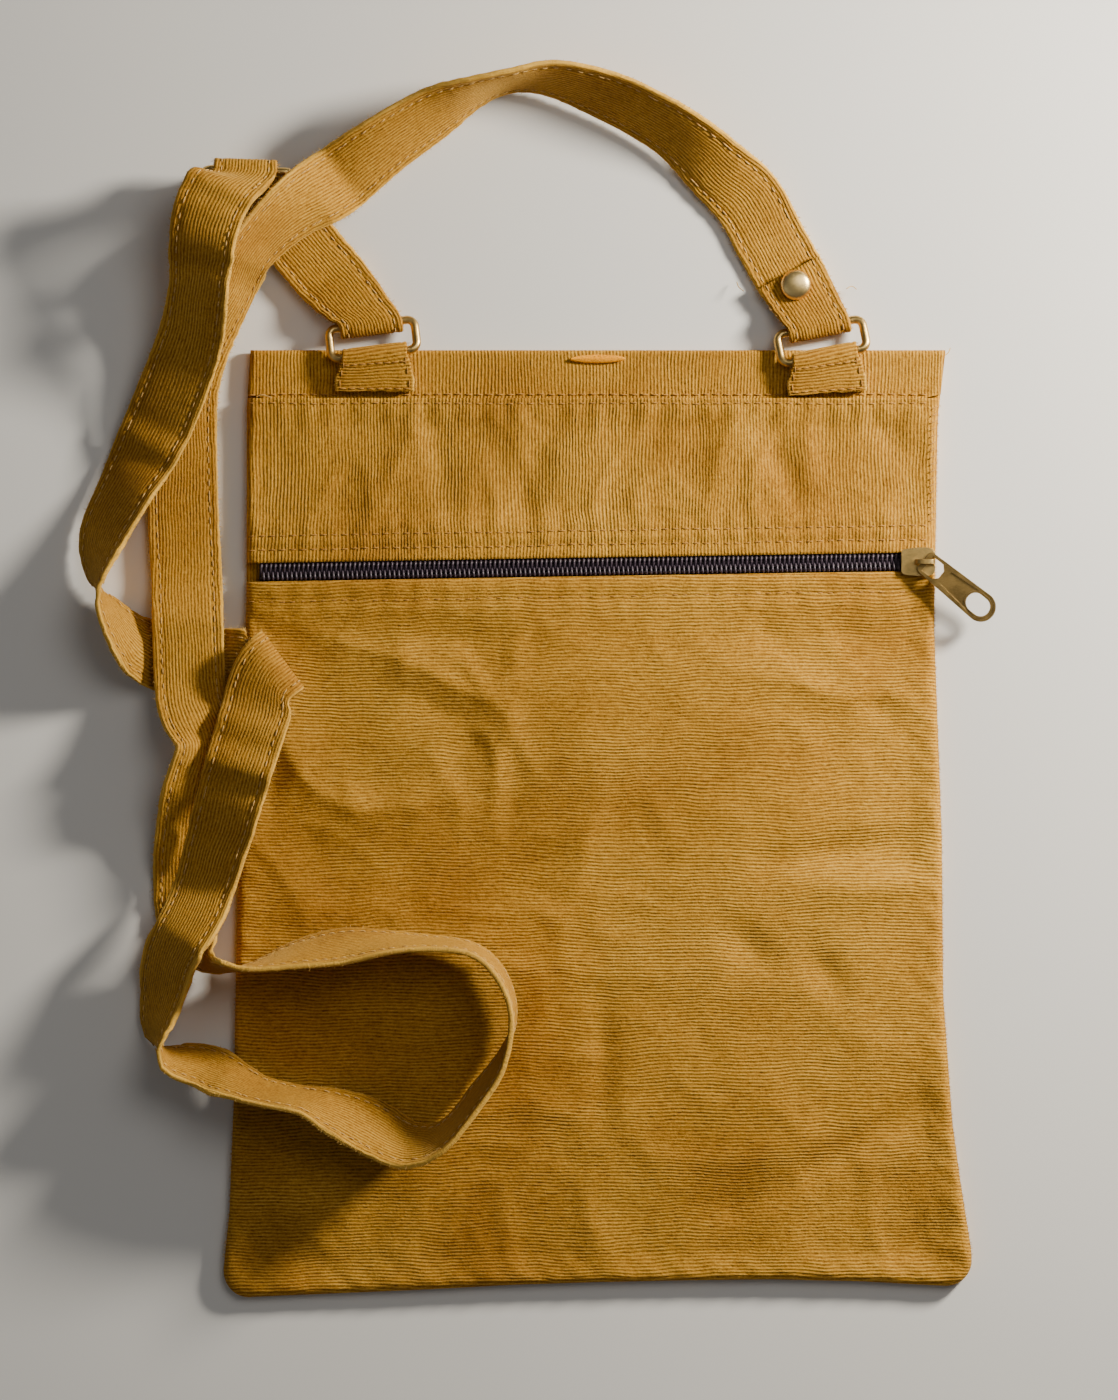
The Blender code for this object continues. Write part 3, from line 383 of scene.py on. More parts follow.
def planned(runs):
    """Even steps through joined runs as (x, y, roll), and the run that each step belongs to."""
    keys = [Vector((s.x * BAG_W, s.y * BAG_H, radians(s.roll))) for run in runs for s in run]
    owner = [i for i, run in enumerate(runs) for s in run]
    last = len(keys) - 1
    points, owners = [], []
    for i in range(last):
        four = [keys[max(i - 1, 0)], keys[i], keys[i + 1], keys[min(i + 2, last)]]
        steps = max(1, ceil((four[2].xy - four[1].xy).length / STRAP_STEP))
        for step in range(steps):
            points.append(catmull(*four, step / steps))
            owners.append(owner[i])
    return points + [keys[-1]], owners + [owner[-1]]


def rulings_of(points):
    """Unit vectors across the strap, from its second edge to its first, at each planned step."""
    rulings = []
    last = len(points) - 1
    for i, p in enumerate(points):
        ahead = (points[min(i + 1, last)] - points[max(i - 1, 0)]).xy.normalized()
        left = Vector((-ahead.y, ahead.x, 0))
        rulings.append(left * cos(p.z) + Vector((0, 0, sin(p.z))))
    return rulings


def samples(point, ruling, height):
    """Points across the strap at a step."""
    mid = Vector((point.x, point.y, height))
    return [mid + ruling * (STRAP_W / 2 * share) for share in shares(-1.0, 1.0, 6)]


def upward(ruling):
    """Half of the strap's thickness as measured straight up."""
    return STRAP_T / 2 / max(hypot(ruling.x, ruling.y), 0.5)


def resting(point, ruling, pile):
    """Lowest height of a step's middle at which it clears the bag, the floor and the pile."""
    best = 0.0
    for p in samples(point, ruling, 0.0):
        support = ground(p.x, p.y)
        if len(pile):
            near = (pile[:, 0] - p.x) ** 2 + (pile[:, 1] - p.y) ** 2 < REACH ** 2
            if near.any():
                support = max(support, pile[near, 2].max())
        best = max(best, support + GAP + upward(ruling) - p.z)
    return best


def settled(chains, order, pile, ends):
    """Heights of all steps, run after run in the order in which they were laid down.

    chains holds (points, owners) pairs, order names (chain, run) pairs, pile starts with what lies
    below, and ends gives the lowest heights of a chain's first and last step.
    """
    rulings = [rulings_of(points) for points, _ in chains]
    heights = [[0.0] * len(points) for points, _ in chains]
    for c, (first, last) in enumerate(ends):
        heights[c][0] = first
        heights[c][-1] = last
    for lap in range(3):
        laid = [(p.x, p.y, p.z, -1, 0) for p in pile]
        for c, run in order:
            points, owners = chains[c]
            array = np.array(laid)
            mine = [i for i, owner in enumerate(owners) if owner == run]
            for i in mine:
                apart = (array[:, 3] != c) | (abs(array[:, 4] - i) > 7)
                heights[c][i] = max(heights[c][i], resting(points[i], rulings[c][i], array[apart]))
            for i in mine:
                for p in samples(points[i], rulings[c][i], heights[c][i] + upward(rulings[c][i])):
                    laid.append((p.x, p.y, p.z, c, i))
        for c, (points, _) in enumerate(chains):
            path = list(range(len(points)))
            for way in (path, path[::-1]):
                for a, b in zip(way, way[1:]):
                    fall = STRAP_SLOPE * (points[a].xy - points[b].xy).length
                    heights[c][b] = max(heights[c][b], heights[c][a] - fall)
    return heights, rulings


def at_height(point, z):
    return Vector((point.x, point.y, z))


def hook(mid, bar, side, sense):
    """Half turn round a ring's bar. side is the level way round it, sense -1 starts on top."""
    stations = []
    for i in range(7):
        a = (-pi / 2 + pi * i / 6) * sense
        place = mid + side * HOOK_R * cos(a) + Vector((0, 0, HOOK_R * sin(a)))
        stations.append(Station(place, bar, RING_SQUEEZE))
    return stations


def layer(mid, way, across, bar, heights):
    """One layer leaving a ring: it turns from the bar's direction to its own over TAIL_L."""
    stations = []
    for i, height in enumerate(heights):
        t = (i + 1) / len(heights)
        ruling = bar.lerp(across, t).normalized()
        wide = RING_SQUEEZE + (1 - RING_SQUEEZE) * t
        stations.append(Station(at_height(mid + way * TAIL_L * t, height), ruling, wide))
    return stations


def ring_bar(frame):
    """Unit vector along a ring's bars, and the level way from the strap's bar into the ring."""
    bar = (frame.to_3x3() @ Vector((1, 0, 0))).normalized()
    return bar, Vector((bar.y, -bar.x, 0)).normalized()


def level_way(start, end):
    return Vector((end.x - start.x, end.y - start.y, 0)).normalized()


def turned(way):
    return Vector((way.y, -way.x, 0))


def section_point(section):
    return Vector((section.x * BAG_W, section.y * BAG_H, 0))


def stub_stations(frames):
    """The short strap between the left ring and the strap ring, its ends folded back underneath."""
    low = GAP + STRAP_T / 2
    over = low + STRAP_T + GAP
    high = low + 2 * HOOK_R
    near = frames["ring_left"].translation.copy()
    near_bar, near_in = ring_bar(frames["ring_left"])
    far = frames["ring_strap"] @ Vector((0, -(RING_H + RING_WIRE), 0))
    far_bar, far_in = ring_bar(frames["ring_strap"])
    way = level_way(near, far)
    across = turned(way)
    stations = layer(near, way, across, near_bar, [low, low, low])[::-1]
    stations += hook(near, near_bar, near_in, 1)
    stations += layer(near, way, across, near_bar, [high, (high + over) / 2, over])
    stations += [Station(at_height(near.lerp(far, t), over), across, 1.0) for t in (0.42, 0.5, 0.58)]
    stations += layer(far, -way, across, far_bar, [high, (high + over) / 2, over])[::-1]
    stations += hook(far, far_bar, -far_in, -1)
    stations += layer(far, -way, across, far_bar, [low, low, low])
    return stations


def crease_stations(z_first, z_last):
    """The flat fold: a half turn about its crease."""
    ruling = Vector((cos(CREASE_HEADING), sin(CREASE_HEADING), 0))
    out = Vector((-ruling.y, ruling.x, 0))
    mid = Vector((CREASE_X * BAG_W, CREASE_Y * BAG_H, (z_first + z_last) / 2))
    r = (z_first - z_last) / 2
    stations = []
    for i in range(6):
        a = pi / 2 - pi * i / 5
        stations.append(Station(mid + out * (r * cos(a)) + Vector((0, 0, r * sin(a))), ruling, 1.0))
    return stations


def main_stations(frames, stub):
    """The long strap, from its riveted end at the right ring to the strap ring."""
    start = frames["ring_right"].translation.copy()
    start_bar, start_in = ring_bar(frames["ring_right"])
    low = GAP + STRAP_T / 2
    over = low + STRAP_T + GAP
    high = low + 2 * HOOK_R
    way = level_way(start, section_point(ARCH[0]))
    across = turned(way)
    stations = layer(start, way, across, start_bar, [high, over, over, over])[::-1]
    stations += hook(start, start_bar, start_in, -1)
    stations += layer(start, way, across, start_bar, [low, low])
    stations = [s._replace(ruling=-s.ruling) for s in stations]
    ring = frames["ring_strap"]
    bar, inward = ring_bar(ring)
    top = ring.translation - bar * RING_SIDE_CLEAR
    reach = STRAP_W / 2 * cos(CREASE_HEADING)
    fall = STRAP_W / 2 * sin(CREASE_HEADING)
    mid_x, mid_y = CREASE_X * BAG_W, CREASE_Y * BAG_H
    under = max(ground(mid_x + reach * t, mid_y + fall * t) for t in (-1, -0.5, 0, 0.5, 1))
    base = under + GAP + STRAP_T / 2
    chains = [planned([ARCH, DROP, LOOP, CROSSING]), planned([RETURN, RISE])]
    order = [(1, 0), (0, 2), (0, 1), (0, 0), (0, 3), (1, 1)]
    pile = [p for s in stub for p in samples(s.mid, s.ruling, s.mid.z + upward(s.ruling))]
    ends = [(0.0, base + STRAP_T + 2 * GAP), (base, top.z + HOOK_R)]
    heights, rulings = settled(chains, order, pile, ends)
    runs = []
    for (points, _), levels, across_all in zip(chains, heights, rulings):
        run = zip(points, levels, across_all)
        runs.append([Station(at_height(p, z), ruling, 1.0) for p, z, ruling in run])
    stations += runs[0]
    stations += crease_stations(heights[0][-1], heights[1][0])
    stations += runs[1]
    stations += hook(top, bar, -inward, -1)
    stations.append(Station(at_height(top + inward * TAIL_L * 0.4, top.z - HOOK_R), bar, RING_SQUEEZE))
    return stations


def union(name, first, second, operation="UNION"):
    a = bpy.data.objects.new("first", first)
    b = bpy.data.objects.new("second", second)
    bpy.context.scene.collection.objects.link(a)
    bpy.context.scene.collection.objects.link(b)
    cut = a.modifiers.new("join", "BOOLEAN")
    cut.operation = operation
    cut.solver = "EXACT"
    cut.object = b
    graph = bpy.context.evaluated_depsgraph_get()
    graph.update()
    result = bpy.data.meshes.new_from_object(a.evaluated_get(graph))
    result.name = name
    bpy.data.objects.remove(a, do_unlink=True)
    bpy.data.objects.remove(b, do_unlink=True)
    return result


def extruded(name, points, thickness):
    bm = bmesh.new()
    low = [bm.verts.new((x, y, -thickness / 2)) for x, y in points]
    face = bm.faces.new(low)
    grown = bmesh.ops.extrude_face_region(bm, geom=[face])
    verts = [v for v in grown["geom"] if isinstance(v, bmesh.types.BMVert)]
    bmesh.ops.translate(bm, vec=(0, 0, thickness), verts=verts)
    bmesh.ops.recalc_face_normals(bm, faces=bm.faces)
    mesh = bpy.data.meshes.new(name)
    bm.to_mesh(mesh)
    bm.free()
    return mesh


# Sizes of the details
STRAP_FIBRE_R = 0.055 * MM
STRAP_FIBRE_PITCH = 0.30 * MM
EDGE_FIBRE_R = 0.05 * MM
LOOSE_THREAD_R = 0.13 * MM
SATIN_R = 0.24 * MM
SATIN_COUNT = 44
TURN_R = 0.36 * MM
CORD_R = 0.42 * MM
SUNK_START = 2.6 * MM
SUNK_W = 4.8 * MM
SUNK_MARGIN = 0.75 * MM
SUNK_T = 0.8 * MM
LIP_W = 0.65 * MM
STRIP_SEAM = 1.1 * MM
PANEL_CRUMPLE = 3.0 * MM
BAND_CRUMPLE = 2.2 * MM
CREASE_SHARE = 0.9
RIB_PITCH = 1.02 * MM
STITCH_PITCH = 3.1 * MM
STITCH_L = 2.3 * MM
STITCH_R = 0.21 * MM
HEM_BELOW_ZIP = 6.4 * MM
HEM_ABOVE_ZIP = 4.2 * MM
HEM_SECOND = 8.4 * MM
BAND_HEM = 1.6 * MM
COIL_PITCH = 1.4 * MM
PLY = 1.2 * MM
STRAP_SEAM = 0.74
SCALE = 0.30 * MM
PHOTO_W = 1118
PHOTO_H = 1400
PHOTO_X0 = 592
PHOTO_Y0 = 820

# Velvet colours: the dark stop is painted shade in rib valleys, and the pale stop is painted highlight on
# rib tops, tufts and strap edges.
GOLD = (0.52, 0.252, 0.024)
GOLD_DARK = (0.17, 0.064, 0.005)
GOLD_PALE = (0.84, 0.50, 0.085)


def from_photo(px, py, z=0.0):
    """Place of a pixel of the photograph in the row frame."""
    return Vector(((px - PHOTO_X0) * SCALE, (PHOTO_Y0 - py) * SCALE, z))


# Materials

class Nodes:
    """Short way to build a node material."""

    def __init__(self, name):
        self.mat = bpy.data.materials.new(name)
        self.mat.use_nodes = True
        self.tree = self.mat.node_tree
        self.shader = self.tree.nodes["Principled BSDF"]

    def add(self, kind, **values):
        node = self.tree.nodes.new(kind)
        for key, value in values.items():
            if hasattr(node, key):
                setattr(node, key, value)
            else:
                node.inputs[key.replace("_", " ").title()].default_value = value
        return node

    def link(self, a, b):
        self.tree.links.new(a, b)

    def math(self, operation, a, b=0.0, clamp=False):
        node = self.tree.nodes.new("ShaderNodeMath")
        node.operation = operation
        node.use_clamp = clamp
        for socket, value in zip(node.inputs, (a, b)):
            if isinstance(value, (int, float)):
                socket.default_value = value
            else:
                self.link(value, socket)
        return node.outputs[0]

    def noise(self, vector, scale, detail=2.0, rough=0.5):
        node = self.tree.nodes.new("ShaderNodeTexNoise")
        node.inputs["Scale"].default_value = scale
        node.inputs["Detail"].default_value = detail
        node.inputs["Roughness"].default_value = rough
        self.link(vector, node.inputs["Vector"])
        return node.outputs["Fac"]

    def stretch(self, vector, scale):
        node = self.tree.nodes.new("ShaderNodeMapping")
        node.inputs["Scale"].default_value = scale
        self.link(vector, node.inputs["Vector"])
        return node.outputs[0]

    def ramp(self, fac, stops):
        node = self.tree.nodes.new("ShaderNodeValToRGB")
        ramp = node.color_ramp
        while len(ramp.elements) < len(stops):
            ramp.elements.new(0.5)
        for element, (place, colour) in zip(ramp.elements, stops):
            element.position = place
            element.color = (*colour, 1.0)
        self.link(fac, node.inputs[0])
        return node.outputs[0]

    def mix(self, fac, a, b, blend="MIX"):
        node = self.tree.nodes.new("ShaderNodeMix")
        node.data_type = "RGBA"
        node.blend_type = blend
        for socket, value in ((node.inputs[0], fac), (node.inputs[6], a), (node.inputs[7], b)):
            if isinstance(value, (int, float)):
                socket.default_value = value
            elif isinstance(value, tuple):
                socket.default_value = (*value, 1.0)
            else:
                self.link(value, socket)
        return node.outputs[2]

    def bump(self, height, distance, strength=1.0):
        node = self.tree.nodes.new("ShaderNodeBump")
        node.inputs["Distance"].default_value = distance
        node.inputs["Strength"].default_value = strength
        self.link(height, node.inputs["Height"])
        self.link(node.outputs[0], self.shader.inputs["Normal"])

    def set(self, **values):
        for key, value in values.items():
            self.shader.inputs[key.replace("_", " ")].default_value = value


def velvet(name, rib, tone=1.0, edge=None):
    """Ribbed velvet. rib names the coordinate that crosses the ribs: X, Y, or U and V of the UV map."""
    n = Nodes(name)
    coords = n.add("ShaderNodeTexCoord")
    space = coords.outputs["UV"] if rib in "UV" else coords.outputs["Object"]
    split = n.add("ShaderNodeSeparateXYZ")
    n.link(space, split.inputs[0])
    place = split.outputs[{"X": 0, "Y": 1, "U": 0, "V": 1}[rib]]
    along = {"X": (1, 0.16, 1), "Y": (0.16, 1, 1), "U": (1, 0.16, 1), "V": (0.16, 1, 1)}[rib]
    wander = n.math("MULTIPLY", n.noise(space, 26.0, 3.0), 5.5 * MM)
    phase = n.math("MULTIPLY", n.math("ADD", place, wander), 2 * pi / RIB_PITCH)
    ribs = n.math("ADD", n.math("MULTIPLY", n.math("SINE", phase), 0.5), 0.5)
    pile = n.noise(n.stretch(space, along), 2300.0, 2.0, 0.7)
    tufts = n.noise(space, 1300.0, 3.0, 0.65)
    worn = n.noise(space, 17.0, 4.0, 0.55)
    # Painted sheen: streaks along the ribs, lighter or darker as brushed nap would catch the light. The
    # same streaks also set how deep the ribs are.
    nap_sheen = n.noise(n.stretch(space, along), 75.0, 3.0, 0.6)
    faint = n.math("MULTIPLY", ribs, n.math("ADD", n.math("MULTIPLY", nap_sheen, 1.1), 0.15))
    # The colour follows the pile's relief: paler on rib tops and tufts, darker in rib valleys and between
    # tufts. This is painted shade and painted highlight.
    light = n.math("ADD", n.math("MULTIPLY", faint, 0.27), n.math("MULTIPLY", pile, 0.46))
    light = n.math("ADD", light, n.math("MULTIPLY", tufts, 0.36))
    dark = tuple(c * tone for c in GOLD_DARK)
    mid = tuple(c * tone for c in GOLD)
    pale = tuple(min(c * tone, 1.0) for c in GOLD_PALE)
    colour = n.ramp(light, [(0.30, dark), (0.52, mid), (0.80, pale)])
    patches = n.ramp(worn, [(0.32, (0.62, 0.53, 0.44)), (0.50, (0.94, 0.93, 0.92)),
                            (0.68, (1.0, 1.03, 1.08))])
    colour = n.mix(0.8, colour, patches, "MULTIPLY")
    # Painted highlight: a paler rim along both edges of a strap or tab, where the rounded edges catch the
    # light.
    if edge:
        rim = n.math("ABSOLUTE", split.outputs[0])
        rim = n.math("SUBTRACT", rim, edge - 0.9 * MM)
        rim = n.math("MULTIPLY", rim, 1 / (0.9 * MM), True)
        colour = n.mix(n.math("MULTIPLY", rim, 0.65), colour, GOLD_PALE)
    n.link(colour, n.shader.inputs["Base Color"])
    height = n.math("ADD", n.math("MULTIPLY", faint, 0.62), n.math("MULTIPLY", tufts, 0.85))
    height = n.math("ADD", height, n.math("MULTIPLY", pile, 0.35))
    n.bump(height, 0.34 * MM, 0.85)
    n.set(Roughness=0.92, Sheen_Weight=0.34, Sheen_Roughness=0.34, Sheen_Tint=(1.0, 0.64, 0.18, 1.0))
    n.set(Specular_IOR_Level=0.18)
    return n.mat


def brass_finish(name, tone=(0.66, 0.49, 0.25), rough=0.3, wear=0.5):
    """Slightly aged brass: fine scratches, darker patches, brighter rubbed places."""
    n = Nodes(name)
    space = n.add("ShaderNodeTexCoord").outputs["Object"]
    patches = n.noise(space, 260.0, 4.0, 0.6)
    scratches = n.noise(n.stretch(space, (1.0, 9.0, 1.0)), 900.0, 3.0, 0.7)
    mixed = n.math("ADD", n.math("MULTIPLY", patches, 0.6), n.math("MULTIPLY", scratches, 0.4))
    dull = tuple(c * (1 - wear * 0.62) for c in tone)
    bright = tuple(min(c * 1.22, 1.0) for c in tone)
    n.link(n.ramp(mixed, [(0.34, dull), (0.55, tone), (0.75, bright)]), n.shader.inputs["Base Color"])
    roughness = n.math("ADD", n.math("MULTIPLY", mixed, 0.35), rough - 0.1)
    n.link(roughness, n.shader.inputs["Roughness"])
    n.bump(scratches, 0.03 * MM, 0.6)
    n.set(Metallic=1.0)
    return n.mat


def thread_finish(name, colour, twist=2600.0):
    """Twisted thread."""
    n = Nodes(name)
    space = n.add("ShaderNodeTexCoord").outputs["Object"]
    strands = n.noise(n.stretch(space, (1.0, 2.2, 1.4)), twist, 2.0, 0.6)
    dark = tuple(c * 0.55 for c in colour)
    pale = tuple(min(c * 1.25, 1.0) for c in colour)
    n.link(n.ramp(strands, [(0.3, dark), (0.52, colour), (0.75, pale)]), n.shader.inputs["Base Color"])
    n.bump(strands, 0.08 * MM, 0.7)
    n.set(Roughness=0.78, Specular_IOR_Level=0.2)
    return n.mat


def tape_finish(name):
    """Dark woven tape in a herringbone."""
    n = Nodes(name)
    space = n.add("ShaderNodeTexCoord").outputs["Object"]
    split = n.add("ShaderNodeSeparateXYZ")
    n.link(space, split.inputs[0])
    slant = n.math("ABSOLUTE", n.math("SINE", n.math("MULTIPLY", split.outputs[1], 1500.0)))
    phase = n.math("ADD", n.math("MULTIPLY", split.outputs[0], 9000.0), n.math("MULTIPLY", slant, 3.0))
    weave = n.math("ADD", n.math("MULTIPLY", n.math("SINE", phase), 0.5), 0.5)
    fuzz = n.noise(space, 3000.0, 2.0, 0.6)
    height = n.math("ADD", n.math("MULTIPLY", weave, 0.7), n.math("MULTIPLY", fuzz, 0.5))
    n.link(n.ramp(height, [(0.2, (0.012, 0.008, 0.012)), (0.6, (0.048, 0.030, 0.040)),
                           (1.0, (0.11, 0.075, 0.085))]), n.shader.inputs["Base Color"])
    n.bump(height, 0.15 * MM, 0.8)
    n.set(Roughness=0.85)
    return n.mat


def coil_finish(name):
    """Dark nylon with a soft gloss on each turn."""
    n = Nodes(name)
    space = n.add("ShaderNodeTexCoord").outputs["Object"]
    dust = n.noise(space, 1800.0, 3.0, 0.6)
    n.link(n.ramp(dust, [(0.35, (0.030, 0.020, 0.032)), (0.62, (0.085, 0.062, 0.085)),
                         (0.85, (0.21, 0.17, 0.17))]), n.shader.inputs["Base Color"])
    n.bump(dust, 0.03 * MM, 0.5)
    n.set(Roughness=0.42)
    return n.mat


def floor_finish(name):
    n = Nodes(name)
    space = n.add("ShaderNodeTexCoord").outputs["Object"]
    haze = n.noise(space, 5.0, 3.0, 0.5)
    colour = n.ramp(haze, [(0.3, (0.80, 0.79, 0.77)), (0.7, (0.84, 0.83, 0.81))])
    n.link(colour, n.shader.inputs["Base Color"])
    n.set(Roughness=0.8)
    return n.mat


# Mesh helpers

def add_piece(name, verts, faces, finish, body="bag", uvs=None, smooth=True):
    """A mesh piece that rides on a body. uvs gives one (u, v) for each vertex."""
    mesh = bpy.data.meshes.new(name)
    mesh.from_pydata([tuple(v) for v in verts], [], faces)
    if smooth:
        mesh.shade_smooth()
    if uvs is not None:
        layer_uv = mesh.uv_layers.new(name="UVMap")
        index = np.empty(len(mesh.loops), int)
        mesh.loops.foreach_get("vertex_index", index)
        layer_uv.data.foreach_set("uv", np.array(uvs, float)[index].ravel())
    obj = bpy.data.objects.new(name, mesh)
    bpy.context.scene.collection.objects.link(obj)
    mesh.materials.append(finish)
    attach(obj, body)
    return obj


def grid_faces(rows, wide, start=0, flip=False):
    faces = []
    for r in range(rows - 1):
        for c in range(wide - 1):
            a = start + r * wide + c
            quad = (a, a + wide, a + wide + 1, a + 1)
            faces.append(quad[::-1] if flip else quad)
    return faces


def closed_grid(upper, lower):
    """Vertices and faces of a closed sheet between two grids of points, upper seen from above."""
    rows, wide = len(upper), len(upper[0])
    verts = [p for row in upper for p in row] + [p for row in lower for p in row]
    base = rows * wide
    faces = grid_faces(rows, wide) + grid_faces(rows, wide, base, True)
    for r in range(rows - 1):
        a, b = r * wide, (r + 1) * wide
        faces.append((a, base + a, base + b, b))
        faces.append((a + wide - 1, b + wide - 1, base + b + wide - 1, base + a + wide - 1))
    for c in range(wide - 1):
        faces.append((c, c + 1, base + c + 1, base + c))
        a = (rows - 1) * wide + c
        faces.append((a, base + a, base + a + 1, a + 1))
    return verts, faces


class Pile:
    """Many small closed shapes gathered into one mesh."""

    def __init__(self):
        self.verts = []
        self.faces = []

    def tube(self, points, radius, sides=5, taper=True):
        """A round tube through points, pointed at its ends where taper is set."""
        start = len(self.verts)
        last = len(points) - 1
        for i, p in enumerate(points):
            ahead = (points[min(i + 1, last)] - points[max(i - 1, 0)]).normalized()
            guide = Vector((0, 0, 1)) if abs(ahead.z) < 0.9 else Vector((1, 0, 0))
            a = ahead.cross(guide).normalized()
            b = a.cross(ahead)
            r = radius * (0.35 if taper and i in (0, last) else 1.0)
            for k in range(sides):
                t = 2 * pi * k / sides
                self.verts.append(p + a * (r * cos(t)) + b * (r * sin(t)))
        for i in range(last):
            for k in range(sides):
                m = (k + 1) % sides
                row = start + i * sides
                self.faces.append((row + k, row + sides + k, row + sides + m, row + m))
        self.faces.append(tuple(start + k for k in range(sides)))
        self.faces.append(tuple(start + last * sides + k for k in reversed(range(sides))))

    def stitch(self, middle, along, up, length=STITCH_L, radius=STITCH_R):
        """One stitch: a short thread whose ends dip into the cloth."""
        points = []
        for t in (-0.5, -0.3, 0.0, 0.3, 0.5):
            dip = (1 - (2 * t) ** 2) * radius * 1.7
            points.append(middle + along * (length * t) + up * (dip - radius * 0.9))
        self.tube(points, radius)

    def piece(self, name, finish, slot, body="bag"):
        return add_piece(name, self.verts, self.faces, finish, body)


# Bag cloth

def ripple(x, y, scale, seed):
    return noise.noise(Vector((x * scale, y * scale, seed)))


def seam_pucker(distance, along, reach=7 * MM, wave=7.5 * MM):
    """Small puckers beside a seam."""
    if distance > reach:
        return 0.0
    fade = (1 - distance / reach) ** 1.5 * min(distance / (1.2 * MM), 1.0)
    return fade * sin(2 * pi * along / wave + 5 * noise.noise(Vector((along * 40, 0, 3))))


def groove(distance, width=0.8 * MM):
    return exp(-(distance / width) ** 2)


def crumple(x, y, seed):
    """Dents between soft ridges, from 0 at a ridge to 1 in a dent."""
    bend_x = x + 9 * MM * ripple(x, y, 30, seed + 20)
    bend_y = y + 9 * MM * ripple(x, y, 30, seed + 30)
    broad = min(abs(ripple(bend_x, bend_y * 1.3, 17, seed)) * 3.2, 1.0) ** 0.8
    small = min(abs(ripple(bend_x * 1.2, bend_y, 41, seed + 10)) * 3.0, 1.0) ** 0.8
    share = 0.5 + 0.5 * min(max(ripple(x, y, 9, seed + 40) * 2.2 + 0.35, -1.0), 1.0)
    return 0.72 * broad * share + 0.28 * small * share


def panel_relief(x, y):
    """Fine shape of the lower panel above its main form."""
    edge = edge_distance(x, y)
    from_zip = zip_y(x) - COIL_W / 2 - y
    inside = min(edge / (9 * MM), max((from_zip - HEM_BELOW_ZIP - 3 * MM) / (9 * MM), 0.0), 1.0)
    relief = inside * (0.30 * MM * ripple(x, y, 34, 1) + 0.20 * MM * ripple(x, y, 85, 2))
    relief -= inside * PANEL_CRUMPLE * crumple(x, y, 1)
    relief -= inside * CREASE_SHARE * crease_depth(x, y)
    relief += 0.16 * MM * ripple(x * 0.5, y, 190, 5) * inside
    relief += 0.35 * MM * exp(-((from_zip - HEM_BELOW_ZIP * 0.5) / (HEM_BELOW_ZIP * 0.42)) ** 2)
    relief -= 0.42 * MM * groove(from_zip - HEM_BELOW_ZIP)
    relief += 0.20 * MM * seam_pucker(abs(from_zip - HEM_BELOW_ZIP), x, 10 * MM, 9 * MM)
    relief += 0.26 * MM * seam_pucker(edge, x + y, 12 * MM, 10 * MM)
    return relief * min(edge / EDGE_ROLL + 0.15, 1.0)


def band_relief(x, y):
    """Fine shape of the band above the zip."""
    edge = min(x - left_x(y), right_x(y) - x)
    inside = min(max(edge, 0) / (5 * MM), 1.0)
    relief = inside * (0.30 * MM * ripple(x * 1.6, y * 0.5, 55, 8) + 0.18 * MM * ripple(x, y, 120, 9))
    above = y - zip_y(x) - COIL_W / 2
    top = TOP_Y - BAND_TOP_DROP - y
    middle = min(max(min(above - HEM_SECOND, top - BAND_HEM) / (7 * MM), 0.0), 1.0)
    dents = BAND_CRUMPLE * crumple(x * 1.25, y * 0.75, 4)
    relief -= inside * middle * (dents + CREASE_SHARE * crease_depth(x, y))
    relief -= 0.38 * MM * (groove(above - HEM_ABOVE_ZIP) + groove(above - HEM_SECOND))
    relief -= 0.34 * MM * groove(top - BAND_HEM)
    relief += 0.30 * MM * seam_pucker(abs(above - HEM_SECOND), x, 9 * MM, 8 * MM)
    relief += 0.34 * MM * seam_pucker(abs(top - BAND_HEM), x, 13 * MM, 8 * MM)
    return relief * min(max(edge, 0) / EDGE_ROLL + 0.15, 1.0)


def cloth_panel(name, rows_y, columns, relief, tilt_top, tilt_low, finish):
    """A back panel as a fine closed sheet over the space of its solid."""
    near = [0.0, 0.05, 0.16, 0.34, 0.6, 1.0]
    upper, lower = [], []
    for r, y in enumerate(rows_y):
        t = r / (len(rows_y) - 1)
        x0 = left_x(y) + corner_inset(y)
        x1 = right_x(y) - corner_inset(y)
        xs = [x0 + d * EDGE_ROLL for d in near] + shares(x0 + EDGE_ROLL, x1 - EDGE_ROLL, columns)[1:-1]
        xs += [x1 - d * EDGE_ROLL for d in reversed(near)]
        sag_share = min(max((0.1 * BAG_H - (y - BOTTOM_Y)) / (0.1 * BAG_H), 0.0), 1.0)
        top_row, low_row = [], []
        for x in xs:
            shift = (zip_y(x) - zip_y(0)) * (tilt_top * (1 - t) + tilt_low * t)
            yy = y + shift
            z = outer_z(x, yy) + relief(x, yy)
            under = max(z - PLY, PANEL_T + GAP)
            if edge_distance(x, yy) < PANEL_T:
                under = PANEL_T + GAP
            place_y = yy - bottom_sag((x - x0) / (x1 - x0)) * sag_share
            top_row.append(Vector((x, place_y, z)))
            low_row.append(Vector((x, place_y, under)))
        upper.append(top_row)
        lower.append(low_row)
    verts, faces = closed_grid(upper, lower)
    return add_piece(name, verts, faces, finish)


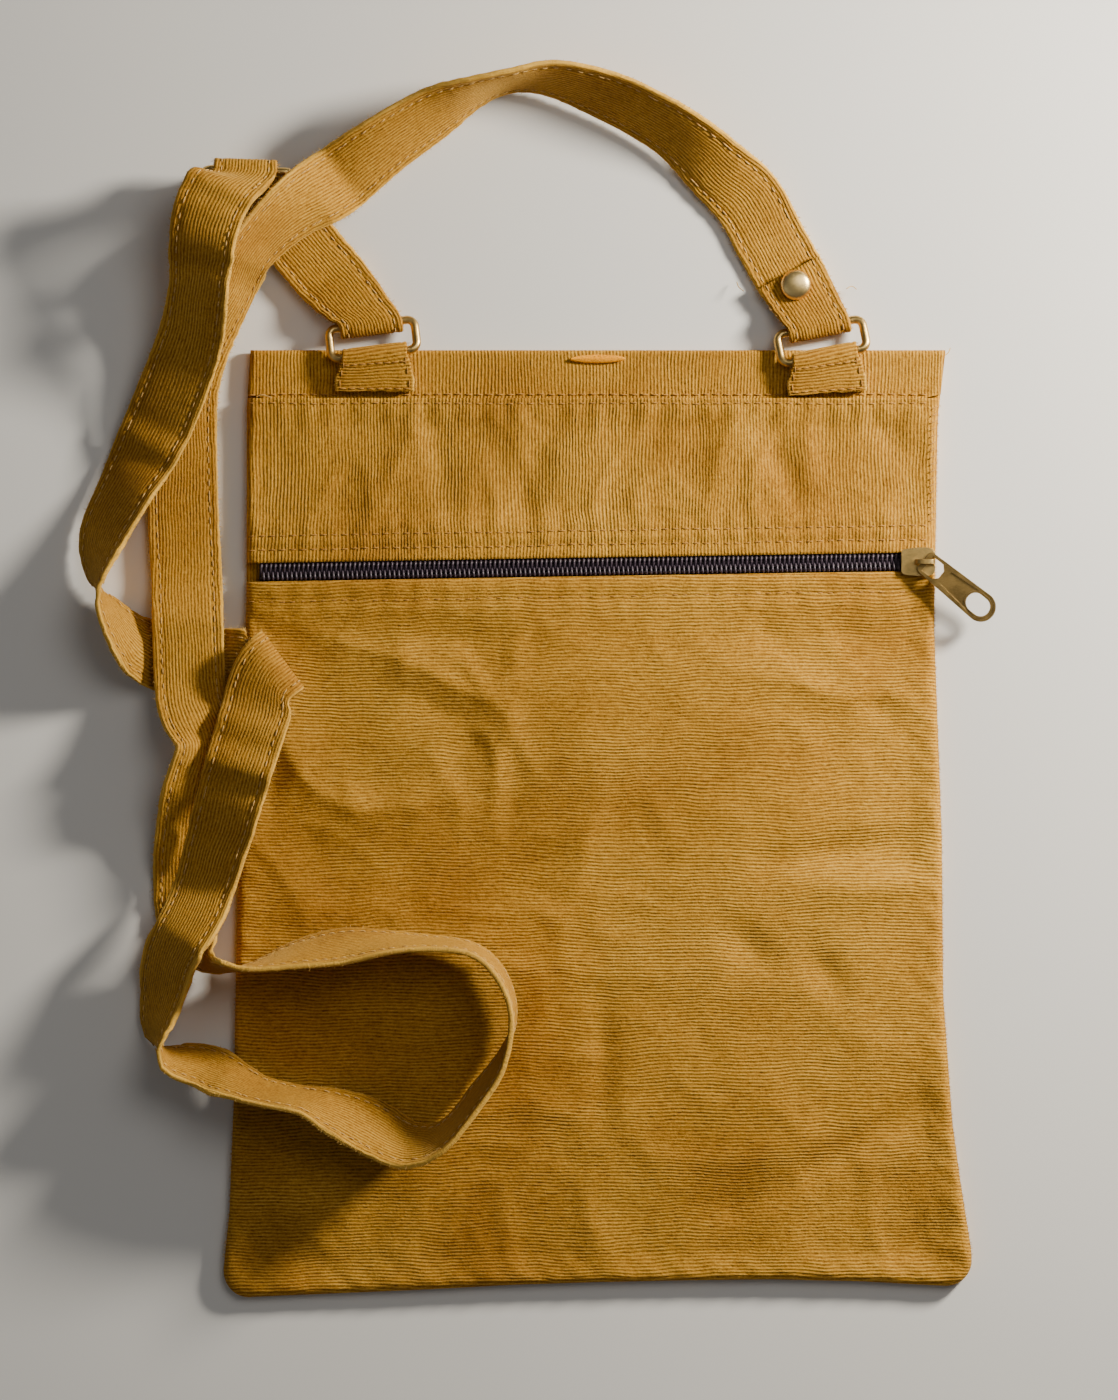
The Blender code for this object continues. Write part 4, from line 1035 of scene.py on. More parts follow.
def make_bag(cloth):
    """The two back panels and the front with its folded strip."""
    top = zip_y(0) - COIL_W / 2 - GAP
    rows = shares(top, BOTTOM_Y + CORNER_R, 150)
    rows += shares(BOTTOM_Y + CORNER_R, BOTTOM_Y + EDGE_ROLL, 6)[1:]
    rows += [BOTTOM_Y + d * EDGE_ROLL for d in (0.6, 0.34, 0.16, 0.05, 0.0)]
    lower = cloth_panel("lower_cloth", rows, 130, panel_relief, 1.0, 0.0, cloth["across"])
    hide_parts("back_panel")
    band_rows = shares(TOP_Y - BAND_TOP_DROP, zip_y(0) + COIL_W / 2 + GAP, 52)
    band = cloth_panel("band_cloth", band_rows, 150, band_relief, 0.0, 1.0, cloth["upright"])
    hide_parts("back_band")
    front = front_cloth(cloth["upright"])
    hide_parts("front_panel")


def front_cloth(finish):
    """The hidden front, rolled over the top edge into the strip that shows."""
    turn_r = (PANEL_T + GAP) / 2
    mid = PANEL_T / 2
    end = TOP_Y - turn_r
    hem = TOP_Y - BAND_TOP_DROP
    tuck = PANEL_T + EDGE_ROLL
    upper, lower = [], []
    columns = 120

    def row(y, z, pull, sag, up, ply, strip=False):
        x0 = left_x(y) + pull
        x1 = right_x(y) - pull
        outer_row, inner_row = [], []
        for x in shares(x0, x1, columns):
            base = Vector((x, y - bottom_sag((x - x0) / (x1 - x0)) * sag, z))
            lift = 0.0
            if strip:
                lift = 0.16 * MM * (ripple(x * 1.5, y, 70, 4) - 0.6)
                lift -= 0.12 * MM * groove(y - hem - STRIP_SEAM)
            outer_row.append(base + up * (ply / 2 + lift))
            inner_row.append(base - up * ply / 2)
        upper.append(outer_row)
        lower.append(inner_row)

    down = Vector((0, 0, -1))
    for a in shares(0.0, 1.0, 6):
        y = BOTTOM_Y + CORNER_R * (1 - cos(a * pi / 2))
        row(y, mid, corner_inset(y), 1 - 0.1 * a, down, PANEL_T)
    start = BOTTOM_Y + CORNER_R
    for i in range(1, 31):
        t = i / 30
        row(start + (end - start) * t, mid, 0, 0.9 * (1 - t) ** 3, down, PANEL_T)
    for i in range(1, 10):
        a = i * pi / 10
        out = Vector((0, sin(a), -cos(a)))
        row(end + turn_r * sin(a), mid + turn_r * (1 - cos(a)), 0, 0, out, PANEL_T)
    up = Vector((0, 0, 1))
    for y in shares(end, hem + 4 * GAP, 14):
        row(y, mid + 2 * turn_r, 0, 0, up, PANEL_T, True)
    for y in (hem + GAP, TOP_Y - STRIP_H):
        row(y, mid + 2 * turn_r, tuck, 0, up, PANEL_T)
    verts, faces = closed_grid(upper, lower)
    return add_piece("front_cloth", verts, faces, finish)


# Straps and tabs

def refined(stations, step):
    """Stations at an even fine step along a smooth line through the given ones."""
    mids = [s.mid for s in stations]
    gaps = [max((b - a).length, 1e-6) for a, b in zip(mids, mids[1:])]
    last = len(stations) - 1

    def slope(values, i):
        if i == 0:
            return (values[1] - values[0]) / gaps[0]
        if i == last:
            return (values[-1] - values[-2]) / gaps[-1]
        before = (values[i] - values[i - 1]) / gaps[i - 1]
        after = (values[i + 1] - values[i]) / gaps[i]
        return (before * gaps[i] + after * gaps[i - 1]) / (gaps[i] + gaps[i - 1])

    rulings = [s.ruling for s in stations]
    result = []
    for i in range(last):
        count = max(1, round(gaps[i] / step))
        m0, m1 = slope(mids, i) * gaps[i], slope(mids, i + 1) * gaps[i]
        for k in range(count):
            t = k / count
            h00, h10 = 2 * t ** 3 - 3 * t * t + 1, t ** 3 - 2 * t * t + t
            h01, h11 = 3 * t * t - 2 * t ** 3, t ** 3 - t * t
            mid = mids[i] * h00 + m0 * h10 + mids[i + 1] * h01 + m1 * h11
            smooth = t * t * (3 - 2 * t)
            ruling = rulings[i].lerp(rulings[i + 1], smooth).normalized()
            wide = stations[i].width + (stations[i + 1].width - stations[i].width) * smooth
            result.append(Station(mid, ruling, wide))
    result.append(stations[-1])
    return result


Place = namedtuple("Place", "mid ruling normal ahead half along")


class Ribbon:
    """A sewn strap: its fine stations with their normals and lengths along it."""

    def __init__(self, stations, width, step, thick, lean=True):
        self.stations = refined(stations, step)
        self.thick = thick
        self.places = []
        length = 0.0
        last = len(self.stations) - 1
        for i, s in enumerate(self.stations):
            a = self.stations[max(i - 1, 0)].mid
            b = self.stations[min(i + 1, last)].mid
            ahead = (b - a).normalized()
            tilt = ahead.z * s.ruling.z if lean else 0.0
            half = width / 2 * s.width / max(sqrt(1 - tilt * tilt), 0.8)
            normal = ahead.cross(s.ruling).normalized()
            if i:
                length += (s.mid - self.stations[i - 1].mid).length
            self.places.append(Place(s.mid, s.ruling, normal, ahead, half, length))
        self.length = length

    def point(self, i, share, height):
        p = self.places[i]
        return p.mid + p.ruling * (p.half * share) + p.normal * height

    def at(self, length):
        """Index of the first station at least that far along."""
        low, high = 0, len(self.places) - 1
        while low < high:
            m = (low + high) // 2
            if self.places[m].along < length:
                low = m + 1
            else:
                high = m
        return low


STRAP_COLUMNS = [-1.0, -0.985, -0.94, -0.86, -0.79, -0.74, -0.69, -0.6, -0.4, -0.2, 0.0,
                 0.2, 0.4, 0.6, 0.69, 0.74, 0.79, 0.86, 0.94, 0.985, 1.0]


def strap_height(share, along, seam):
    """Half thickness of the strap across its width, in shares of the full one."""
    edge = min((1 - abs(share)) / 0.06, 1.0)
    puff = 0.30 + 0.62 * sqrt(max(1 - (1 - edge) ** 2, 0.0))
    dip = 0.34 * exp(-((abs(share) - seam) / 0.05) ** 2)
    beat = 0.10 * sin(2 * pi * along / STITCH_PITCH) * exp(-((abs(share) - seam) / 0.12) ** 2)
    return min(puff - dip + beat, 0.94)


def ribbon_piece(name, ribbon, finish, seed, seam=STRAP_SEAM, body="bag"):
    upper, lower, uvs = [], [], []
    last = len(ribbon.places) - 1
    for i, (mid, ruling, normal, ahead, half, along) in enumerate(ribbon.places):
        row_up, row_low = [], []
        left = 1 - 0.022 * (0.5 + noise.noise(Vector((along * 420, seed, 0))))
        right = 1 - 0.022 * (0.5 + noise.noise(Vector((along * 420, seed, 9))))
        end = 0.0
        for share in STRAP_COLUMNS:
            s = share * (right if share > 0 else left)
            h = strap_height(share, along, seam) * ribbon.thick / 2
            if i in (0, last):
                end = 0.7 * MM * noise.noise(Vector((share * 7, seed, 5))) - 0.4 * MM
            shift = ahead * (end if i == last else -end)
            row_up.append(mid + ruling * (half * s) + normal * h + shift)
            row_low.append(mid + ruling * (half * s) - normal * h + shift)
            uvs.append((half * share, along))
        upper.append(row_up)
        lower.append(row_low)
    verts, faces = closed_grid(lower, upper)
    return add_piece(name, verts, faces, finish, body, uvs + uvs)


def sew_ribbon(pile, ribbon, start, end, shares_across, both=True):
    """Stitches along a ribbon, between two lengths."""
    along = start
    while along < end:
        i = ribbon.at(along)
        p = ribbon.places[i]
        for share in shares_across:
            h = strap_height(share, p.along, abs(share)) * ribbon.thick / 2
            wobble = 0.10 * MM * noise.noise(Vector((along * 900, share, 0)))
            for side in (1, -1) if both else (1,):
                place = ribbon.point(i, share, side * (h + STITCH_R * 0.7)) + p.ruling * wobble
                pile.stitch(place, p.ahead, p.normal * side)
        along += STITCH_PITCH


def fuzz_ribbon(pile, ribbon, pitch, seed):
    """Loose fibres along both raw edges of a ribbon."""
    rng = random.Random(seed)
    along = 0.0
    while along < ribbon.length:
        i = ribbon.at(along)
        p = ribbon.places[i]
        for side in (1, -1):
            if rng.random() < 0.35:
                continue
            base = ribbon.point(i, side * 0.975, (rng.random() - 0.5) * ribbon.thick * 0.7)
            reach = MM * (0.4 + 1.2 * rng.random() ** 2)
            lean = p.ahead * (rng.random() - 0.5) * 1.6 + p.normal * (rng.random() - 0.5) * 0.8
            tip = base + (p.ruling * side + lean).normalized() * reach
            tip.z = max(tip.z, 0.2 * MM)
            middle = base.lerp(tip, 0.5) + p.ahead * (rng.random() - 0.5) * 0.3 * MM
            pile.tube([base, middle, tip], STRAP_FIBRE_R, 3)
        along += pitch * (0.5 + rng.random())


def make_straps(frames, cloth, thread, fluff):
    stub = stub_stations(frames)
    long_strap = Ribbon(main_stations(frames, stub), STRAP_W, 1.6 * MM, STRAP_T * 0.94)
    short_strap = Ribbon(stub, STRAP_W, 1.2 * MM, STRAP_T * 0.94)
    main = ribbon_piece("long_strap", long_strap, cloth["strap"], 1.0)
    short = ribbon_piece("short_strap", short_strap, cloth["strap_end"], 2.0)
    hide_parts("strap_main")
    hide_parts("strap_stub")
    sewn = Pile()
    seams = (STRAP_SEAM, -STRAP_SEAM)
    sew_ribbon(sewn, long_strap, 1.5 * MM, long_strap.length - 1.5 * MM, seams)
    sew_ribbon(sewn, short_strap, 1.5 * MM, short_strap.length - 1.5 * MM, seams)
    sewn.piece("strap_stitches", thread, "thread")
    fibres = Pile()
    fuzz_ribbon(fibres, long_strap, STRAP_FIBRE_PITCH, 11)
    fuzz_ribbon(fibres, short_strap, STRAP_FIBRE_PITCH, 12)
    fibres.piece("strap_fibres", fluff, "velvet")


def tab_stations(ring_frame, heading):
    """A folded tab round the ring's bar, as in the model's source."""
    bar = ring_frame @ Vector((0, -(RING_H + RING_WIRE), 0))
    r = RING_WIRE / 2 + GAP + TAB_T / 2
    sewn = Vector((cos(heading), sin(heading), 0))
    held = ring_frame.to_3x3() @ Vector((TAB_SQUEEZE, 0, 0))
    back = Vector((sin(heading), -cos(heading), 0))
    low = 2 * PANEL_T + 2 * GAP + TAB_T / 2
    steps = (1.0, 0.65, 0.35)
    path = [(bar + back * TAB_L * t + Vector((0, 0, low - bar.z)), t) for t in steps]
    for i in range(7):
        a = -pi / 2 + pi * i / 6
        path.append((bar - back * r * cos(a) + Vector((0, 0, r * sin(a))), 0.0))
    top = low + TAB_T + GAP - bar.z
    for t in reversed(steps):
        path.append((bar + back * TAB_L * t + Vector((0, 0, r + (top - r) * t)), t))
    stations = []
    for p, t in path:
        across = held.lerp(sewn, min(t / steps[1], 1.0))
        stations.append(Station(p, across.normalized(), across.length))
    return stations


def make_tabs(frames, cloth, thread, fluff):
    sewn, fibres = Pile(), Pile()
    for name, ring, heading in (("tab_right", "ring_right", radians(4)), ("tab_left", "ring_left", 0.0)):
        ribbon = Ribbon(tab_stations(frames[ring], heading), TAB_W, 0.7 * MM, TAB_T * 0.96, False)
        piece = ribbon_piece(name + "_cloth", ribbon, cloth["tab"], 3.0, 0.86)
        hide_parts(name)
        fuzz_ribbon(fibres, ribbon, 0.5 * MM, 13)
        start = ribbon.length - TAB_L * 0.82
        sew_ribbon(sewn, ribbon, start, ribbon.length - 0.8 * MM, (0.87, -0.87), False)
        for offset in (0.82, 0.16):
            i = ribbon.at(ribbon.length - TAB_L * offset)
            p = ribbon.places[i]
            for share in shares(-0.8, 0.8, 7):
                h = 0.9 * ribbon.thick / 2
                sewn.stitch(ribbon.point(i, share, h), p.ruling, p.normal)
    sewn.piece("tab_stitches", thread, "thread")
    fibres.piece("tab_fibres", fluff, "velvet")


# Metal

def ring_piece(name, frame, finish):
    """A rounded rectangle of wire, with the thin joint where its ends meet."""
    half_w = (RING_W + RING_WIRE) / 2
    height = RING_H + RING_WIRE
    r = RING_CORNER
    points = []
    corners = [(half_w - r, -r, 0), (-half_w + r, -r, 1), (-half_w + r, -height + r, 2),
               (half_w - r, -height + r, 3)]
    for cx, cy, quarter in corners:
        for i in range(9):
            a = (quarter + i / 8) * pi / 2
            points.append(Vector((cx + r * cos(a), cy + r * sin(a), 0)))
    closed = points + [points[0]]
    path = []
    for a, b in zip(closed, closed[1:]):
        count = max(1, round((b - a).length / MM))
        path += [a.lerp(b, k / count) for k in range(count)]
    sides = 16
    verts, faces = [], []
    n = len(path)
    for i, p in enumerate(path):
        ahead = (path[(i + 1) % n] - path[i - 1]).normalized()
        out = Vector((ahead.y, -ahead.x, 0))
        joint = exp(-((p - Vector((0.3 * half_w, 0, 0))).length / (0.35 * MM)) ** 2)
        wire = RING_WIRE / 2 * (1 - 0.10 * joint)
        for k in range(sides):
            t = 2 * pi * k / sides
            verts.append(frame @ (p + out * (wire * cos(t)) + Vector((0, 0, wire * sin(t)))))
    for i in range(n):
        for k in range(sides):
            m = (k + 1) % sides
            j = (i + 1) % n
            faces.append((i * sides + k, j * sides + k, j * sides + m, i * sides + m))
    piece = add_piece(name + "_wire", verts, faces, finish)
    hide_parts(name)


def turned_piece(name, profile, place, finish, sides=48):
    """A shape turned about the vertical through a place. profile holds (radius, height)."""
    verts, faces = [], []
    for r, h in profile:
        for k in range(sides):
            t = 2 * pi * k / sides
            verts.append(place + Vector((r * cos(t), r * sin(t), h)))
    for i in range(len(profile) - 1):
        for k in range(sides):
            m = (k + 1) % sides
            faces.append((i * sides + k, i * sides + m, (i + 1) * sides + m, (i + 1) * sides + k))
    faces.append(tuple(reversed(range(sides))))
    top = (len(profile) - 1) * sides
    faces.append(tuple(top + k for k in range(sides)))
    return add_piece(name, verts, faces, finish)


def make_rivet(frames, finish):
    bar_mid = frames["ring_right"].translation
    mid = bar_mid + level_way(bar_mid, section_point(ARCH[0])) * TAIL_L * RIVET_SHARE
    place = Vector((mid.x, mid.y, GAP + 2 * STRAP_T + 2 * GAP))
    profile = [(RIVET_R * 0.94, 0.0), (RIVET_R, 0.12 * RIVET_H), (RIVET_R * 0.985, 0.26 * RIVET_H)]
    for a in shares(0.12, 0.995, 14):
        t = a * pi / 2
        profile.append((RIVET_R * 0.95 * cos(t), RIVET_H * (0.28 + 0.72 * sin(t) ** 0.9)))
    piece = turned_piece("rivet_dome", profile, place, finish)
    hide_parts("rivet_cap")


def bevelled(name, outline_mesh, width, segments, finish, matrix, body):
    """A mesh with its sharp edges rounded."""
    bm = bmesh.new()
    bm.from_mesh(outline_mesh)
    bmesh.ops.remove_doubles(bm, verts=bm.verts, dist=0.002 * MM)
    sharp = [e for e in bm.edges if len(e.link_faces) == 2 and e.calc_face_angle(0) > 0.9]
    bmesh.ops.bevel(bm, geom=sharp, offset=width, segments=segments, affect="EDGES", clamp_overlap=True)
    bm.transform(matrix)
    bmesh.ops.recalc_face_normals(bm, faces=bm.faces)
    mesh = bpy.data.meshes.new(name)
    bm.to_mesh(mesh)
    bm.free()
    for face in mesh.polygons:
        face.use_smooth = True
    mesh.set_sharp_from_angle(angle=radians(50))
    obj = bpy.data.objects.new(name, mesh)
    bpy.context.scene.collection.objects.link(obj)
    mesh.materials.append(finish)
    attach(obj, body)
    return obj


def prism(name, outer, holes, low, high):
    """A flat plate with holes, from low to high."""
    body = extruded(name, outer, high - low)
    for hole in holes:
        body = union(name, body, extruded("hole", hole, (high - low) * 3), "DIFFERENCE")
    body.transform(Matrix.Translation((0, 0, (low + high) / 2)))
    return body


def puller_outline(grow=0.0):
    bar = PULLER_T / 2
    r0 = PULLER_W_SMALL / 2 - grow
    r1 = PULLER_W_BIG / 2 - grow
    length = PULLER_L - PULLER_W_BIG / 2
    points = [(length + r1 * cos(a), r1 * sin(a)) for a in shares(-pi / 2, pi / 2, 28)]
    start = -bar + grow
    soft = 1.2 * MM
    for a in shares(pi / 2, pi, 6):
        points.append((start + soft + soft * cos(a), r0 - soft + soft * sin(a)))
    for a in shares(pi, 1.5 * pi, 6):
        points.append((start + soft + soft * cos(a), -r0 + soft + soft * sin(a)))
    return points


def puller_holes(grow=0.0):
    bar = PULLER_T / 2
    eye_end = bar + PULLER_EYE_L
    half = PULLER_W_SMALL / 2 - PULLER_RIM + grow
    eye = [(bar, half), (bar, -half), (eye_end - half * 0.5, -half), (eye_end + grow, -half * 0.45),
           (eye_end + grow, half * 0.45), (eye_end - half * 0.5, half)]
    r1 = PULLER_W_BIG / 2
    oval_l = PULLER_HOLE_BIG_L - 2 * PULLER_HOLE_BIG
    start = PULLER_L - r1 - oval_l + r1 - PULLER_HOLE_BIG - 2 * PULLER_RIM
    oval = []
    for i in range(29):
        a = -pi / 2 + pi * i / 28
        oval.append((start + oval_l + (PULLER_HOLE_BIG + grow) * cos(a), (PULLER_HOLE_BIG + grow) * sin(a)))
    for i in range(29):
        a = pi / 2 + pi * i / 28
        oval.append((start + (PULLER_HOLE_BIG + grow) * cos(a), (PULLER_HOLE_BIG + grow) * sin(a)))
    return eye, oval


def make_puller(finish):
    """The pull tab: a plate with a raised rim round its long hole, riding on its own body."""
    eye, oval = puller_holes()
    turn = Matrix.Rotation(PULLER_HEADING, 4, "Z") @ Matrix.Rotation(PULLER_DIP, 4, "Y")
    place = Matrix.Translation(hinge_place()) @ turn
    half = PULLER_T / 2
    plate = prism("puller_plate", puller_outline(), [eye, oval], -half, half)
    start, side_y = PULLER_EYE_L + SUNK_START, SUNK_W / 2
    rounded = [p for p in puller_outline(SUNK_MARGIN) if p[0] > start]
    panel = extruded("panel", [(start, -side_y)] + rounded + [(start, side_y)], SUNK_T)
    lip = puller_holes(LIP_W)[1]
    panel = union("panel", panel, extruded("lip", lip, 2 * MM), "DIFFERENCE")
    for side in (half, -half):
        cutter = panel.copy()
        cutter.transform(Matrix.Translation((0, 0, side)))
        plate = union("puller_plate", plate, cutter, "DIFFERENCE")
    piece = bevelled("puller_plate", plate, 0.24 * MM, 3, finish, place, "puller")
    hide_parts("zip_puller")


def slider_outline(grow=0.0):
    """Outline of the slider's plate: broad at its open end, narrow at its neck."""
    l, w = SLIDER_L / 2 - grow, SLIDER_W / 2 - grow
    half = [(-l, 0.70 * w), (-0.9 * l, 0.86 * w), (-0.55 * l, 0.94 * w), (0.05 * l, w), (0.55 * l, w),
            (0.85 * l, 0.9 * w), (l, 0.66 * w), (l, 0.30 * w), (0.86 * l, 0.12 * w)]
    return half[::-1] + [(x, -y) for x, y in half]


def make_slider(finish):
    """Slider plate with rounded shoulders, a core block under it and an arched bridge."""
    c = slider_place()
    plate = prism("slider", slider_outline(), [], 0.0, SLIDER_T)
    bx = SLIDER_L / 2 - BRIDGE_L
    bridge_z = SLIDER_T + PULLER_T + 3 * GAP
    high = bridge_z + BRIDGE_T
    foot, end = SLIDER_T - 0.3 * MM, bx + BRIDGE_L
    steps = [(bx + 0.02 * MM, foot), (bx, bridge_z - 0.3 * MM), (bx + 0.7 * MM, high - 0.12 * MM),
             (bx + 1.5 * MM, high), (end - 1.5 * MM, high), (end - 0.7 * MM, high - 0.12 * MM),
             (end, bridge_z - 0.3 * MM), (end, foot), (end - BRIDGE_T, foot), (end - BRIDGE_T, bridge_z),
             (bx + BRIDGE_T, bridge_z), (bx + BRIDGE_T, foot)]
    bridge = extruded("bridge", steps, BRIDGE_W)
    bridge.transform(Matrix.Rotation(pi / 2, 4, "X"))
    whole = union("slider", plate, bridge)
    body_w = COIL_W / 2 - GAP
    low = tape_top(c.x - SLIDER_L / 2) + GAP - c.z
    x0, x1 = right_x(zip_y(0)) - SLIDER_L + GAP - c.x, SLIDER_L / 2 - EDGE_ROLL - PANEL_T
    outline = [(x0, -body_w), (x1, -body_w), (x1, body_w), (x0, body_w)]
    core = extruded("core", outline, 0.2 * MM - low)
    core.transform(Matrix.Translation((0, 0, (low + 0.2 * MM) / 2)))
    whole = union("slider", whole, core)
    piece = bevelled("slider_body", whole, 0.26 * MM, 3, finish, Matrix.Translation(c), "bag")
    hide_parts("zip_slider")


def make_coil(finish):
    """Both rows of coil turns, meshed along the middle."""
    turns = Pile()
    x = left_x(zip_y(0)) + EDGE_ROLL + PANEL_T + 0.6 * MM
    end = right_x(zip_y(0)) - SLIDER_L - 0.3 * MM
    side = 1
    while x < end:
        base = tape_top(x) + GAP + 0.42 * MM
        y = zip_y(x)
        points = []
        for t in shares(0.0, 1.0, 9):
            a = pi * t
            across = -0.12 + 0.60 * sin(a * 0.5) ** 0.8 if t < 1 else 0.48
            lift = (COIL_H - 0.84 * MM) * sin(a) ** 0.7 if 0 < t < 1 else 0.0
            place = (x + 0.25 * MM * (t - 0.5), y + side * across * COIL_W * 0.94, base + lift)
            points.append(Vector(place))
        turns.tube(points, TURN_R, 7, False)
        side = -side
        x += COIL_PITCH / 2
    piece = turns.piece("zip_turns", finish, "coil")
    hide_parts("zip_coil")


def make_cords(finish):
    """The two cords that run under the coil's turns."""
    cords = Pile()
    x0 = left_x(zip_y(0)) + EDGE_ROLL + PANEL_T
    x1 = right_x(zip_y(0)) - SLIDER_L
    for side in (-0.36, -0.12, 0.12, 0.36):
        points = []
        for x in shares(x0, x1, 60):
            points.append(Vector((x, zip_y(x) + side * COIL_W, tape_top(x) + GAP + 0.55 * MM)))
        cords.tube(points, CORD_R, 7, False)
    cords.piece("zip_cords", finish, "coil")


# Stitching on the bag, motif and loose threads

def surface_stitches(pile, points, heights, up=Vector((0, 0, 1)), length=STITCH_L):
    """Stitches at an even pitch along a line of (x, y) points on a surface."""
    total = 0.0
    next_at = 0.0
    for a, b in zip(points, points[1:]):
        step = (b - a).length
        while next_at < total + step:
            p = a.lerp(b, (next_at - total) / step)
            ahead = (b - a).normalized()
            middle = Vector((p.x, p.y, heights(p.x, p.y)))
            front = p + ahead * MM
            rise = heights(front.x, front.y) - middle.z
            way = Vector((ahead.x * MM, ahead.y * MM, rise)).normalized()
            stray = noise.noise(Vector((next_at * 700, p.y * 90, 1)))
            side = Vector((-ahead.y, ahead.x, 0)) * 0.10 * MM * stray
            pile.stitch(middle + side, way, up, length)
            next_at += STITCH_PITCH
        total += step


def make_bag_stitches(thread):
    sewn = Pile()

    def panel_z(x, y):
        return outer_z(x, y) + panel_relief(x, y) + 0.05 * MM

    def band_z(x, y):
        return outer_z(x, y) + band_relief(x, y) + 0.05 * MM

    def strip_z(x, y):
        return 2 * PANEL_T + GAP + 0.06 * MM

    def line(offset, inset, wave):
        points = []
        for x in shares(left_x(zip_y(0)) + inset, right_x(zip_y(0)) - inset, 90):
            points.append(Vector((x, offset(x) + wave * noise.noise(Vector((x * 60, offset(0) * 300, 2))))))
        return points

    inset = 1.6 * MM
    wave = 0.5 * MM
    surface_stitches(sewn, line(lambda x: zip_y(x) - COIL_W / 2 - HEM_BELOW_ZIP, inset, wave), panel_z)
    surface_stitches(sewn, line(lambda x: zip_y(x) + COIL_W / 2 + HEM_ABOVE_ZIP, inset, wave), band_z)
    surface_stitches(sewn, line(lambda x: zip_y(x) + COIL_W / 2 + HEM_SECOND, inset, wave), band_z)
    surface_stitches(sewn, line(lambda x: TOP_Y - BAND_TOP_DROP - BAND_HEM, inset, wave * 0.6), band_z)
    surface_stitches(sewn, line(lambda x: TOP_Y - BAND_TOP_DROP + STRIP_SEAM, inset, wave * 0.6), strip_z)
    y0, y1 = TOP_Y - BAND_TOP_DROP - 3 * MM, zip_y(BAG_W / 2) + 12 * MM
    y = y0
    while y > y1:
        x = right_x(y) - 1.5 * MM
        slant = Vector((1, 0.55, -0.35)).normalized()
        sewn.stitch(Vector((x, y, band_z(x, y))), slant, Vector((0, 0, 1)), 2.6 * MM)
        y -= 2.1 * MM
    sewn.piece("bag_stitches", thread, "thread")


def make_edge_fibres(fluff):
    """Short fibres along the strip's top fold and the bag's sides."""
    rng = random.Random(21)
    fibres = Pile()
    for _ in range(1500):
        x = left_x(TOP_Y) + rng.random() * (right_x(TOP_Y) - left_x(TOP_Y))
        base = Vector((x, TOP_Y - 0.3 * MM, (1.2 + 0.9 * rng.random()) * MM))
        reach = ((rng.random() - 0.5) * 0.5, 0.5 + 0.5 * rng.random(), (rng.random() - 0.5) * 0.4)
        tip = base + Vector(reach) * MM
        fibres.tube([base, base.lerp(tip, 0.5), tip], EDGE_FIBRE_R, 3)
    for _ in range(2600):
        y = BOTTOM_Y + CORNER_R + rng.random() * (TOP_Y - BAND_TOP_DROP - BOTTOM_Y - CORNER_R - 2 * MM)
        side = rng.choice((-1, 1))
        x = (right_x(y) if side > 0 else left_x(y)) - side * 0.3 * MM
        base = Vector((x, y, (2.0 + 1.6 * rng.random()) * MM))
        tip = base + Vector((side * (0.4 + 0.5 * rng.random()), (rng.random() - 0.5) * 0.6, 0.2)) * MM
        fibres.tube([base, base.lerp(tip, 0.5), tip], EDGE_FIBRE_R, 3)
    fibres.piece("edge_fibres", fluff, "velvet")


def make_motif(thread):
    """A small satin stitch oval over the top edge."""
    pile = Pile()
    top_y = TOP_Y - MOTIF_H / 2 - PANEL_T * 0.6
    middle = Vector((0.008 * BAG_W, top_y, 2 * PANEL_T + 2 * GAP + MOTIF_T * 0.45))
    for i in range(SATIN_COUNT):
        t = (i + 0.5) / SATIN_COUNT * 2 - 1
        half = MOTIF_H / 2 * sqrt(1 - t * t) + 0.12 * MM
        x = middle.x + t * MOTIF_W / 2
        points = []
        for s in (-1, -0.6, 0, 0.6, 1):
            lift = MOTIF_T * 0.42 * (1 - s * s) - 0.1 * MM
            points.append(Vector((x + s * 0.35 * MM, middle.y + s * half, middle.z + lift)))
        pile.tube(points, SATIN_R, 6)
    piece = pile.piece("motif_threads", thread, "thread")
    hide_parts("edge_motif")


def loose_thread(pile, points):
    """A thin thread through points, smoothed."""
    fine = []
    last = len(points) - 1
    for i in range(last):
        four = [points[max(i - 1, 0)], points[i], points[i + 1], points[min(i + 2, last)]]
        fine += [catmull(*four, k / 6) for k in range(6)]
    pile.tube(fine + [points[-1]], LOOSE_THREAD_R, 6)


def make_threads(thread):
    """The loose ends that the photograph shows at the seams and the strap's ends."""
    pile = Pile()
    top = 4.4 * MM
    loops = [
        [(253, 403, top), (250, 408, 3.4 * MM), (247.5, 416, 2.4 * MM), (247, 426, 2.2 * MM),
         (249, 434, 2.6 * MM), (253, 439, 3.8 * MM)],
        [(256, 397, top), (261, 395, top), (267, 396, top), (272, 398, top)],
        [(846, 289, 4.6 * MM), (852, 286, 3.4 * MM), (857, 289, 2.2 * MM)],
        [(744, 291, 4.6 * MM), (739, 287, 3.0 * MM), (737, 281, 1.6 * MM)],
        [(944, 356, 2.2 * MM), (949, 352, 1.6 * MM), (951, 347, 1.1 * MM)],
    ]
    for points in loops:
        loose_thread(pile, [from_photo(*p) for p in points])
    pile.piece("loose_threads", thread, "thread")


# Stage, light and camera

def make_stage():
    size = 3.0
    bpy.ops.mesh.primitive_plane_add(size=size, location=(0, 0, -0.0002))
    floor_obj = bpy.context.object
    floor_obj.name = "floor"
    floor_obj.data.materials.append(floor_finish("floor"))


